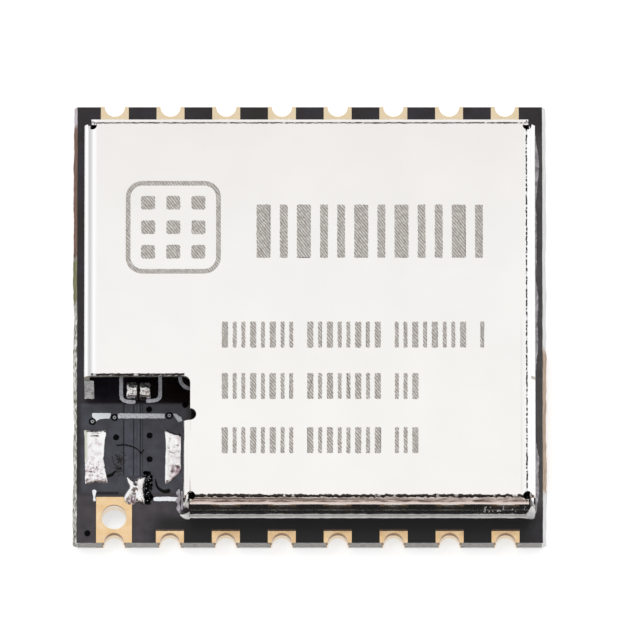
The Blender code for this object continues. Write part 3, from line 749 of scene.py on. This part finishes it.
BADGE_CENTRE = Vector((-4.88, 3.04)) * MM
BADGE_SIZE = 3.4 * MM
BADGE_LINE = 0.17 * MM
BADGE_CORNER = 0.6 * MM
BADGE_DOT = 0.5 * MM
BADGE_PITCH = 1.8 * BADGE_DOT
DOT_CORNER = 0.08 * MM
TICK_CORNER = 0.04 * MM
MARK_RAGGED = 0.012 * MM
TITLE_SPAN = (-1.9 * MM, 6.75 * MM)
TITLE_LEVELS = (1.92 * MM, 3.87 * MM)
TITLE_TICKS = (0.5, 0.28, 0.5, 0.28, 0.28)
TITLE_GAP = 0.33
ROW_LEFT = -3.14 * MM
ROW_ENDS = (6.45 * MM, 4.08 * MM, 3.9 * MM)
ROW_TOPS = (-0.42 * MM, -2.30 * MM, -4.28 * MM)
ROW_HEIGHT = 0.95 * MM
ROW_TICKS = (0.22, 0.14, 0.14, 0.22, 0.14)
ROW_GAP = 0.17
WORD_GAP = 0.5 * MM
TICKS_IN_WORD = 8


def make_marks():
    """Hatched marks on the flat top."""
    shape = bmesh.new()
    low, high = CAN_TOP - 2 * MARK_RECESS, CAN_TOP - MARK_RECESS / 4
    draw = random.Random(5)

    def bar(x0, x1, y0, y1, radius):
        outline = round_rectangle((x0, y0), (x1, y1), radius)
        slab(shape, ragged(outline, MARK_RAGGED, draw.random()), low, high)

    def tick_row(start, end, bottom, top, ticks, gap, every=None):
        x = start
        number = 0
        while True:
            width = ticks[number % len(ticks)] * MM
            if x + width > end:
                break
            bar(x, x + width, bottom, top, TICK_CORNER)
            number += 1
            wide = every is not None and number % every == 0
            x += width + (WORD_GAP if wide else gap * MM)

    loops = []
    for inset in (0.0, BADGE_LINE):
        half = Vector((BADGE_SIZE / 2 - inset,) * 2)
        corners = BADGE_CENTRE - half, BADGE_CENTRE + half
        outline = round_rectangle(*corners, BADGE_CORNER - inset)
        for level in (low, high):
            loops.append([shape.verts.new((x, y, level)) for x, y in outline])
    under_outside, over_outside, under_inside, over_inside = loops
    ring = (under_outside, over_outside, over_inside, under_inside)
    for first, second in zip(ring, ring[1:] + ring[:1]):
        bridge(shape, second, first)
    for column in (-1, 0, 1):
        for row in (-1, 0, 1):
            x = BADGE_CENTRE.x + column * BADGE_PITCH
            y = BADGE_CENTRE.y + row * BADGE_PITCH
            half = BADGE_DOT / 2
            bar(x - half, x + half, y - half, y + half, DOT_CORNER)

    tick_row(*TITLE_SPAN, *TITLE_LEVELS, TITLE_TICKS, TITLE_GAP)
    for end, top in zip(ROW_ENDS, ROW_TOPS):
        tick_row(ROW_LEFT, end, top - ROW_HEIGHT, top, ROW_TICKS, ROW_GAP, TICKS_IN_WORD)
    piece("laser_marks", shape, [MARK])


# Solder

RIM_POINTS = 12
RINGS = 36
COARSE_WAVES = 4.0
FINE_WAVES = 11.0


def frozen_skin(x, y, seed, coarse=0.02, fine=0.006):
    """Wrinkles of frozen solder, as a height in millimetres."""
    place = (x, y, 0.0)
    return coarse * wrinkle(place, COARSE_WAVES, seed) + fine * wrinkle(place, FINE_WAVES, seed + 1)


def ridge(x, y, start, end, width):
    """1 on the line between two places in millimetres, and falling off to its sides."""
    place = Vector((x / MM, y / MM))
    start, end = Vector(start), Vector(end)
    span = end - start
    share = min(1.0, max(0.0, (place - start).dot(span) / span.length_squared))
    away = (place - start - span * share).length
    return math.exp(-(away / width) ** 2)


def solder_pool(name, outline, peak, height, dome, relief, nodes=(), material=SOLDER):
    """Solder frozen inside an outline, from its peak down to a thin rim. Places are in millimetres.

    The dome is the two powers of its profile, and the relief gives a height for a place.
    """
    rim = curve(mm(outline), RIM_POINTS, closed=True)
    centre = Vector(peak) * MM
    shape = bmesh.new()
    loops = []
    for i in range(1, RINGS + 1):
        share = i / RINGS
        fall = (1 - share ** dome[0]) ** dome[1]
        loop = []
        for x, y in rim:
            spot = centre.lerp(Vector((x, y)), share)
            level = height * fall + relief(spot.x, spot.y) * min(1.0, 8 * (1 - share))
            loop.append(shape.verts.new((spot.x, spot.y, SEAT_TOP + max(0.0, level) * MM)))
        loops.append(loop)
    top = height + relief(centre.x, centre.y)
    tip = shape.verts.new((centre.x, centre.y, SEAT_TOP + top * MM))
    first = loops[0]
    for corner, following in zip(first, first[1:] + first[:1]):
        shape.faces.new((tip, corner, following))
    for inner, outer in zip(loops, loops[1:]):
        bridge(shape, inner, outer)
    shape.faces.new(list(reversed(loops[-1])))
    bmesh.ops.recalc_face_normals(shape, faces=shape.faces)
    piece(name, shape, [material], nodes, 60)


def left_ground_relief(x, y):
    """A smooth face with a raised right rim, wrinkled in its lower third."""
    rough = 0.3 + 0.7 * min(1.0, max(0.0, -(y / MM + 4.9) / 0.4))
    height = 0.03 * ridge(x, y, (-7.34, -3.95), (-7.40, -5.0), 0.06)
    height += 0.03 * ridge(x, y, (-7.40, -5.0), (-7.28, -5.75), 0.06)
    height -= 0.03 * ridge(x, y, (-7.8, -4.05), (-7.55, -4.05), 0.06)
    return height + frozen_skin(x, y, 1, 0.03 * rough, 0.024 * rough)


def right_ground_relief(x, y):
    """A pitted face, smoother at its top, with a shallow hollow at its lower right."""
    rough = 0.2 + 0.8 * min(1.0, max(0.0, -(y / MM + 4.1) / 0.4))
    height = -0.04 * ridge(x, y, (-4.95, -5.50), (-4.76, -5.30), 0.09)
    height += 0.02 * rough * ridge(x, y, (-5.1, -3.95), (-5.1, -5.7), 0.06)
    return height + frozen_skin(x, y, 4, 0.018 * rough, 0.014 * rough)


def signal_relief(x, y):
    """Four arms with a hollow between the lower two."""
    height = -0.10 * ridge(x, y, (-6.33, -6.55), (-6.30, -6.25), 0.07)
    for start, end in (((-6.50, -5.65), (-6.28, -6.0)), ((-5.98, -5.65), (-6.2, -6.0)),
                       ((-6.60, -6.5), (-6.35, -6.0)), ((-5.98, -6.5), (-6.15, -6.0))):
        height += 0.05 * ridge(x, y, start, end, 0.10)
    return height + frozen_skin(x, y, 7, 0.03, 0.012)


def cap_relief(x, y):
    """A small part's end cap: wrinkled and ragged, with a front that leans out of the mouth."""
    return frozen_skin(x, y, 11, 0.012, 0.008) + 0.19 * min(0.0, y / MM + 2.40)


def corner_relief(x, y):
    """Lumps at the can's corners."""
    return frozen_skin(x, y, 15, 0.02, 0.006)


HOLLOW = [(1 - math.cos(turn), 1 - math.sin(turn)) for turn in map(math.radians, range(0, 91, 6))]
BEAD = curve([(0.0, 1.0), (0.45, 0.98), (0.8, 0.93), (1.0, 0.82), (0.9, 0.5), (0.6, 0.0)], 3)


def solder_fillet(name, node, in_front, seed, material, height=1.0, section=HOLLOW, skin=0.008):
    """Solder down a wall to the board, with an uneven edge, in front of the wall or left of it.

    The section's points are shares of its reach and its rise, from the wall down to the board.
    The skin is the depth of its wrinkles in millimetres.
    """
    low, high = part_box(node)
    rise = height * (high.z - low.z)
    if in_front:
        start, along, out = Vector((low.x, high.y, SEAT_TOP)), Vector((1, 0, 0)), Vector((0, -1, 0))
        length, reach = high.x - low.x, high.y - low.y
    else:
        start, along, out = Vector((high.x, low.y, SEAT_TOP)), Vector((0, 1, 0)), Vector((-1, 0, 0))
        length, reach = high.y - low.y, high.x - low.x
    stations = max(12, round(length / (0.03 * MM)))
    shape = bmesh.new()
    loops = []
    for i in range(stations + 1):
        place = start + along * length * i / stations
        swell = 0.78 + 0.22 * wrinkle(place, 1.6, seed)
        swell += 0.12 * wrinkle(place, 6.0, seed + 1)
        swell = min(1.0, max(0.25, swell))
        loop = [shape.verts.new(place)]
        for share_out, share_up in section:
            across = reach * swell * share_out
            up = rise * (0.5 + 0.5 * swell) * share_up
            spot = place + out * across + Vector((0.0, 0.0, up))
            if across > 0.0 and up > 0.0:
                x, y = spot.x + spot.z, spot.y + 1.3 * spot.z
                push = frozen_skin(x, y, seed + 2, skin, skin / 2) * MM
                spot += out * max(push, -across / 2)
            loop.append(shape.verts.new(spot))
        loops.append(loop)
    for near, far in zip(loops, loops[1:]):
        bridge(shape, near, far)
    shape.faces.new(loops[0])
    shape.faces.new(list(reversed(loops[-1])))
    bmesh.ops.recalc_face_normals(shape, faces=shape.faces)
    piece(name, shape, [material], [node], 60)


def make_solder():
    """Solder on the empty footprint, on the small part's ends and at the can's foot."""
    solder_pool("left_ground_pool", [
        (-8.06, -3.88), (-7.66, -3.92), (-7.25, -3.87), (-7.30, -4.25), (-7.34, -4.9),
        (-7.28, -5.4), (-7.24, -5.80), (-7.64, -5.78), (-8.02, -5.83), (-8.05, -5.3),
        (-8.07, -4.7), (-8.07, -4.2),
    ], (-7.68, -4.85), 0.06, (20.0, 0.8), left_ground_relief, ["ground_solder_left"])
    solder_pool("right_ground_pool", [
        (-5.18, -3.87), (-4.88, -3.98), (-4.62, -4.05), (-4.60, -4.5), (-4.61, -5.0),
        (-4.60, -5.25), (-4.63, -5.38), (-4.84, -5.62), (-5.16, -5.83), (-5.19, -5.3),
        (-5.18, -4.8), (-5.17, -4.3),
    ], (-4.88, -4.80), 0.06, (20.0, 0.8), right_ground_relief, ["ground_solder_right"])
    solder_pool("signal_pool", [
        (-6.59, -5.56), (-6.43, -5.61), (-6.30, -5.72), (-6.15, -5.61), (-6.03, -5.55),
        (-5.87, -5.56), (-5.87, -5.76), (-5.93, -5.99), (-5.89, -6.25), (-5.87, -6.50),
        (-5.93, -6.60), (-6.15, -6.52), (-6.32, -6.62), (-6.52, -6.61), (-6.69, -6.43),
        (-6.63, -6.21), (-6.50, -5.99), (-6.56, -5.76),
    ], (-6.22, -6.02), 0.15, (5.0, 0.7), signal_relief, ["signal_solder"])
    for side, overlap in (("left", (0.08, 0.22)), ("right", (-0.20, -0.06))):
        low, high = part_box(f"mouth_capacitor_{side}_cap")
        x0, x1 = low.x / MM + overlap[0], high.x / MM + overlap[1]
        y0, y1 = low.y / MM, high.y / MM
        middle = (x0 + x1) / 2, (y0 + y1) / 2
        solder_pool(f"mouth_{side}_cap", [
            (x0, y0), (middle[0], y0 - 0.02), (x1, y0), (x1, middle[1]), (x1, y1),
            (middle[0], y1), (x0, y1), (x0, middle[1]),
        ], middle, 0.38, (20.0, 0.6), cap_relief, [f"mouth_capacitor_{side}_cap"])

    solder_pool("corner_pool", [
        (-4.64, -6.97), (-4.50, -6.95), (-4.38, -6.90), (-4.29, -6.86), (-4.29, -7.0),
        (-4.27, -7.10), (-4.34, -7.14), (-4.48, -7.12), (-4.58, -7.05),
    ], (-4.40, -7.02), 0.06, (4.0, 0.8), corner_relief, ["can_solder_corner"], PALE_SOLDER)
    low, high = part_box("can_solder_right")
    x0, x1, y0, y1 = low.x / MM, high.x / MM, low.y / MM, high.y / MM
    solder_pool("slit_pool", [
        (x0 - 0.12, y0 + 0.02), (x0 + 0.1, y0), (x1 - 0.04, y0 + 0.02), (x1, y0 + 0.14), (x1, y1),
        (x0, y1), (x0, y0 + 0.06), (x0 - 0.10, y0 + 0.06),
    ], (x0 + 0.1, y1 - 0.16), 1.5, (1.4, 1.0), corner_relief, ["can_solder_right"], PALE_SOLDER)

    solder_fillet("front_fillet", "can_solder_front", True, 21, PALE_SOLDER, 0.6, BEAD, 0.002)
    solder_fillet("notch_fillet", "can_solder_notch", False, 25, FILM)
    solder_fillet("wall_end_fillet", "can_solder_left", True, 29, DULL_SOLDER)


# Print, vias and traces on the board

PRINT_THICKNESS = 0.008 * MM
PRINT_RAGGED = 0.008 * MM
BAR_WIDTH = 0.15 * MM
HOOK_WIDTH = 0.13 * MM


def anticlockwise(outline):
    """The outline, turned round if it runs clockwise."""
    area = sum(a[0] * b[1] - b[0] * a[1] for a, b in zip(outline, outline[1:] + outline[:1]))
    return outline if area > 0 else list(reversed(outline))


def flat_piece(name, outlines, material, thickness, amount, seed):
    """Thin flat shapes on the board with slightly uneven edges."""
    shape = bmesh.new()
    for i, outline in enumerate(outlines):
        edge = ragged(anticlockwise(outline), amount, seed + i)
        slab(shape, edge, BOARD_TOP, BOARD_TOP + thickness)
    piece(name, shape, [material])


def make_print():
    """The screen print round the small part and beside the connector's footprint."""
    outlines = [
        mm([(-7.78, -3.25), (-7.79, -3.36), (-7.66, -3.56), (-7.52, -3.47), (-7.16, -3.44),
            (-7.12, -3.25)]),
        mm([(-6.86, -3.26), (-6.88, -3.44), (-5.19, -3.44), (-5.20, -3.27)]),
        mm([(-4.90, -3.28), (-4.80, -3.45), (-4.70, -3.57), (-4.57, -3.54), (-4.58, -3.42),
            (-4.78, -3.27)]),
        stroke(mm([(-5.52, -6.40), (-5.2, -6.39), (-4.78, -6.40)]), BAR_WIDTH),
        stroke(mm([(-7.70, -6.44), (-7.71, -6.30), (-7.71, -6.12)]),
               [0.09 * MM, 0.07 * MM, BAR_WIDTH]),
    ]
    for points in (
            [(-6.75, -1.9), (-6.75, -2.6), (-6.68, -2.76), (-6.5, -2.83), (-6.30, -2.84)],
            [(-5.36, -1.9), (-5.36, -2.58), (-5.44, -2.74), (-5.6, -2.79), (-5.80, -2.80)]):
        outlines.append(stroke(curve(mm(points), 5), HOOK_WIDTH))
    outlines.append(stroke(arc((-4.25 * MM, -1.95 * MM), 0.40 * MM, 180, 262, 12), HOOK_WIDTH))
    flat_piece("screen_print", outlines, PRINT, PRINT_THICKNESS, PRINT_RAGGED, 31)


RINGED_VIAS = ((-6.99, -3.41), (-5.03, -3.34), (-7.78, -3.56))
TENTED_VIAS = ((-5.75, -3.12), (-4.46, -2.95), (-6.93, -4.14), (-5.73, -4.07), (-5.73, -4.94),
               (-7.95, -7.65))


def disc(centre, radius):
    """Outline of a small round spot."""
    return arc(centre, radius, 0, 345, 23)


def spots(draw, count, across, along, radii):
    """Discs of random size at random places, all in millimetres."""
    outlines = []
    for _ in range(count):
        place = draw.uniform(*across) * MM, draw.uniform(*along) * MM
        outlines.append(disc(place, draw.uniform(*radii) * MM))
    return outlines


def make_vias():
    """Dark plugged vias, some with a bright ring."""
    rings = mm(RINGED_VIAS)
    dark = [disc(place, 0.13 * MM) for place in rings]
    dark += [disc(place, 0.11 * MM) for place in mm(TENTED_VIAS)]
    flat_piece("plugged_vias", dark, TENTED, 0.010 * MM, 0.006 * MM, 51)
    bright = [disc(place, 0.062 * MM) for place in rings]
    flat_piece("via_rings", bright, VIA_METAL, 0.012 * MM, 0.003 * MM, 71)
    holes = [disc(place, 0.028 * MM) for place in rings]
    flat_piece("via_holes", holes, TENTED, 0.014 * MM, 0.002 * MM, 81)


TRACE_STRIPS = ((-6.62, -6.34), (-6.27, -6.20), (-6.165, -6.10))
GAP_STRIPS = ((-6.68, -6.64), (-6.32, -6.29), (-6.08, -6.045), (-5.99, -5.97))
TRACE_LEVELS = (-5.55, -2.92)
TRACE_THICKNESS = 0.004 * MM


def make_traces():
    """Copper under the mask, from the small part to the signal pad, and the gaps beside it, shown
    by painted sheen on the trace and painted shade in the gaps.
    """
    low, high = TRACE_LEVELS
    for name, strips, material in (
            ("signal_trace", TRACE_STRIPS, TRACE_SHEEN), ("trace_gaps", GAP_STRIPS, GAP_SHADE)):
        outlines = [mm([(x0, low), (x1, low), (x1, high), (x0, high)]) for x0, x1 in strips]
        # The dark band above the antenna pad is painted shade as well.
        if material is GAP_SHADE:
            outlines.append(mm([(-7.63, -6.23), (-6.84, -6.23), (-6.84, -6.13), (-7.63, -6.13)]))
        flat_piece(name, outlines, material, TRACE_THICKNESS, 0.003 * MM, 401)


FLUX_SPOTS = 60
SCUFFS = 14
SOLDER_SPECKS = 16


def make_soiling():
    """Flux and scuffs round the hand-soldered footprint."""
    draw = random.Random(8)
    flux = [
        stroke(curve(mm([(-5.52, -5.69), (-5.43, -5.98), (-5.22, -6.12), (-5.06, -6.10)]), 6),
               [0.05 * MM + 0.10 * MM * i / 18 for i in range(19)]),
        stroke(curve(mm([
            (-6.90, -4.43), (-6.60, -4.42), (-6.30, -4.50), (-6.14, -4.60), (-6.04, -4.74),
        ]), 5), 0.045 * MM),
        stroke(mm([(-6.05, -4.73), (-5.99, -4.66), (-5.94, -4.60)]), 0.035 * MM),
        stroke(mm([(-7.2, -5.55), (-7.05, -5.5), (-6.95, -5.35)]),
               [0.12 * MM, 0.10 * MM, 0.04 * MM]),
    ]
    flux += spots(draw, FLUX_SPOTS, (-5.90, -5.66), (-6.55, -5.40), (0.03, 0.08))
    flat_piece("flux_residue", flux, FLUX, 0.018 * MM, 0.01 * MM, 101)
    film = [
        curve(mm(points), 4, closed=True) for points in (
            [(8.07, 4.3), (8.12, 4.6), (8.17, 5.2), (8.22, 5.7), (8.20, 6.2), (8.13, 6.6),
             (8.07, 6.85)],
            [(8.07, 1.7), (8.12, 2.0), (8.13, 3.0), (8.12, 4.1), (8.07, 4.3)],
            [(8.07, -1.55), (8.12, -1.4), (8.18, -0.7), (8.15, 0.1), (8.19, 0.7), (8.17, 1.2),
             (8.07, 1.45)],
            [(8.07, -6.8), (8.14, -6.6), (8.20, -6.1), (8.18, -5.4), (8.21, -5.0), (8.14, -4.6),
             (8.07, -4.45)],
            [(-4.70, -6.05), (-4.78, -6.16), (-4.72, -6.30), (-4.80, -6.46), (-4.73, -6.60),
             (-4.77, -6.74), (-4.64, -6.93), (-4.62, -6.74), (-4.66, -6.55), (-4.62, -6.40),
             (-4.65, -6.07)],
        )
    ]
    flat_piece("foot_film", film, FILM, 0.012 * MM, 0.012 * MM, 151)

    scuffs = []
    for _ in range(SCUFFS):
        x = draw.uniform(-7.1, -6.75)
        y = draw.uniform(-5.5, -4.6)
        bend = draw.uniform(-0.15, 0.15)
        line = curve(mm([(x, y), (x + 0.1 + bend, y - 0.1), (x + 0.08, y - 0.25 + bend)]), 4)
        scuffs.append(stroke(line, 0.02 * MM))
    flat_piece("scuffs", scuffs, SCUFF, 0.005 * MM, 0.004 * MM, 201)

    specks = spots(draw, SOLDER_SPECKS, (-5.86, -5.68), (-6.5, -5.45), (0.008, 0.018))
    flat_piece("solder_specks", specks, FILM, 0.03 * MM, 0.004 * MM, 301)


LIP_HALF_WIDTH = 0.035 * MM
LIP_THICKNESS = 0.055 * MM


def make_lips():
    """The mask's raised edge over the inner end of each front pad, coloured dark brown as a painted
    shadow line.
    """
    outlines = []
    middle = -BOARD_EDGE + TOP_PAD_LENGTH
    for number in range(2, TERMINALS_PER_ROW + 1):
        low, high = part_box(f"terminal_{number:02d}")
        start = low.x - 0.01 * MM, middle - LIP_HALF_WIDTH
        end = high.x + 0.01 * MM, middle + LIP_HALF_WIDTH
        outlines.append(round_rectangle(start, end, LIP_HALF_WIDTH / 2))
    flat_piece("mask_lips", outlines, PAD_EDGE_SHADOW, LIP_THICKNESS, 0.004 * MM, 501)


WALL_SPECKS = 26
SPECK_CORNERS = (0.0, 1.3, 2.4, 3.5, 4.9)


def make_wall_specks():
    """Small bright specks of solder on the can's front wall, near its right end."""
    draw = random.Random(12)
    shape = bmesh.new()
    for _ in range(WALL_SPECKS):
        x = draw.uniform(6.2, 7.7) * MM
        z = draw.uniform(1.3, 2.6) * MM
        size = draw.uniform(0.01, 0.035) * MM
        spin = draw.uniform(0.0, math.tau)
        loops = []
        for y in (CAN_FRONT + SEAT_GAP / 5, CAN_FRONT - SEAT_GAP):
            loops.append([
                shape.verts.new((x + size * math.cos(turn), y, z + 2.5 * size * math.sin(turn)))
                for turn in (spin + corner for corner in SPECK_CORNERS)
            ])
        inner, outer = loops
        shape.faces.new(inner)
        shape.faces.new(list(reversed(outer)))
        bridge(shape, inner, outer)
    bmesh.ops.recalc_face_normals(shape, faces=shape.faces)
    piece("wall_specks", shape, [DULL_SOLDER])


make_board()
make_terminals()
make_can()
make_marks()
make_solder()
make_print()
make_vias()
make_traces()
make_soiling()
make_lips()
make_wall_specks()

# Finishes of the CAD nodes that stay

MOULDED = ("transceiver_chip", "power_inductor", "antenna_switch")


def finish_of(name):
    """The material of a CAD node that shows as it is."""
    if "solder" in name or name.endswith(("_pad", "_cap")):
        return SOLDER
    if name == "crystal_lid":
        return TIN
    # The small part in the mouth takes the ceramic darkened as painted shade.
    if name == "mouth_capacitor_body":
        return SHADED_CERAMIC
    if name.startswith("bias_") or name in MOULDED:
        return MOULDING
    return CERAMIC


for name, thing in NODES.items():
    thing.data.materials.clear()
    thing.data.materials.append(finish_of(name))


# Stage

LENS_ANGLE = math.radians(5.0)
LAMP_PLACE = (-0.12, 0.16, 0.34)
LAMP_SIZE = 0.25
LAMP_POWER = 0.45


def make_floor():
    """A white floor that the camera and the metal see as white, with the module's shadow."""
    shape = bmesh.new()
    bmesh.ops.create_grid(shape, x_segments=1, y_segments=1, size=1.0)
    material = bpy.data.materials.new("floor")
    material.use_nodes = True
    tree = material.node_tree
    tree.nodes.clear()
    path = add(tree, "ShaderNodeLightPath")
    lit = add(tree, "ShaderNodeBsdfDiffuse", {"Color": (0.95, 0.95, 0.95, 1.0)}).outputs[0]
    result = lit
    for rays, share, strength in ((("Is Glossy Ray", "Is Transmission Ray"), 0.74, 1.06),
                                  (("Is Camera Ray",), 0.10, 4.5)):
        glow = add(tree, "ShaderNodeEmission", {"Strength": strength}).outputs[0]
        white = add(tree, "ShaderNodeMixShader", {0: share, 1: lit, 2: glow}).outputs[0]
        for ray in rays:
            sockets = {0: path.outputs[ray], 1: result, 2: white}
            result = add(tree, "ShaderNodeMixShader", sockets).outputs[0]
    output = add(tree, "ShaderNodeOutputMaterial")
    tree.links.new(result, output.inputs[0])
    new_object("floor", shape, [material])


def make_world():
    """Plain white light. Metal sees a studio that is dark where the photographer stands."""
    world = bpy.data.worlds.new("studio")
    bpy.context.scene.world = world
    world.use_nodes = True
    tree = world.node_tree
    tree.nodes.clear()
    path = add(tree, "ShaderNodeLightPath")
    direction = add(tree, "ShaderNodeTexCoord").outputs["Generated"]
    x, y, z = parted(tree, direction)
    dark = band(tree, times(tree, y, -1.0), 0.24, 2.0, 0.03)
    dark = times(tree, dark, band(tree, z, 0.08, 2.0, 0.04))
    dark = times(tree, dark, band(tree, maths(tree, "ABSOLUTE", x), -1.0, 0.55, 0.15))
    shade = ramp(tree, z, [
        (0.06, (0.05, 0.034, 0.028)), (0.5, (0.10, 0.068, 0.055)), (0.95, (0.32, 0.26, 0.23)),
    ])
    room = ramp(tree, z, [(0.0, 0.92), (0.35, 1.0), (0.8, 1.0)])
    glossy = mixed(tree, dark, room, shade)
    lens = add(tree, "ShaderNodeVectorMath", {
        0: direction, 1: (0.0, -math.cos(VIEW_ELEVATION), math.sin(VIEW_ELEVATION)),
    }, operation="DOT_PRODUCT").outputs["Value"]
    in_lens = band(tree, lens, math.cos(LENS_ANGLE), 2.0, 0.001)
    glossy = mixed(tree, in_lens, glossy, (0.01,) * 3)
    seen = mixed(tree, path.outputs["Is Glossy Ray"], (0.72, 0.72, 0.72), glossy)
    seen = mixed(tree, path.outputs["Is Camera Ray"], seen, (1.0, 1.0, 1.0))
    light = add(tree, "ShaderNodeBackground", {"Color": seen, "Strength": 1.0})
    output = add(tree, "ShaderNodeOutputWorld")
    tree.links.new(light.outputs[0], output.inputs[0])


def make_lamp(name, place, size, power):
    """A large soft lamp that points at the module and doesn't show in it."""
    data = bpy.data.lights.new(name, "AREA")
    data.shape = "SQUARE"
    data.size = size
    data.energy = power
    lamp = bpy.data.objects.new(name, data)
    lamp.location = place
    lamp.rotation_euler = (-Vector(place)).to_track_quat("-Z", "Y").to_euler()
    lamp.visible_glossy = False
    bpy.context.scene.collection.objects.link(lamp)


def make_camera():
    """A long lens at the photograph's angle."""
    data = bpy.data.cameras.new("camera")
    data.sensor_width = SENSOR
    data.lens = SENSOR * VIEW_DISTANCE / VIEW_WIDTH
    data.clip_start = 0.01
    data.clip_end = 10.0
    camera = bpy.data.objects.new("camera", data)
    toward = Vector((0.0, -math.cos(VIEW_ELEVATION), math.sin(VIEW_ELEVATION)))
    camera.location = VIEW_TARGET + VIEW_DISTANCE * toward
    camera.rotation_euler = (-toward).to_track_quat("-Z", "Y").to_euler()
    bpy.context.scene.collection.objects.link(camera)
    bpy.context.scene.camera = camera


make_floor()
make_world()
make_lamp("soft_lamp", LAMP_PLACE, LAMP_SIZE, LAMP_POWER)
make_camera()
bpy.context.scene.view_settings.view_transform = "Standard"
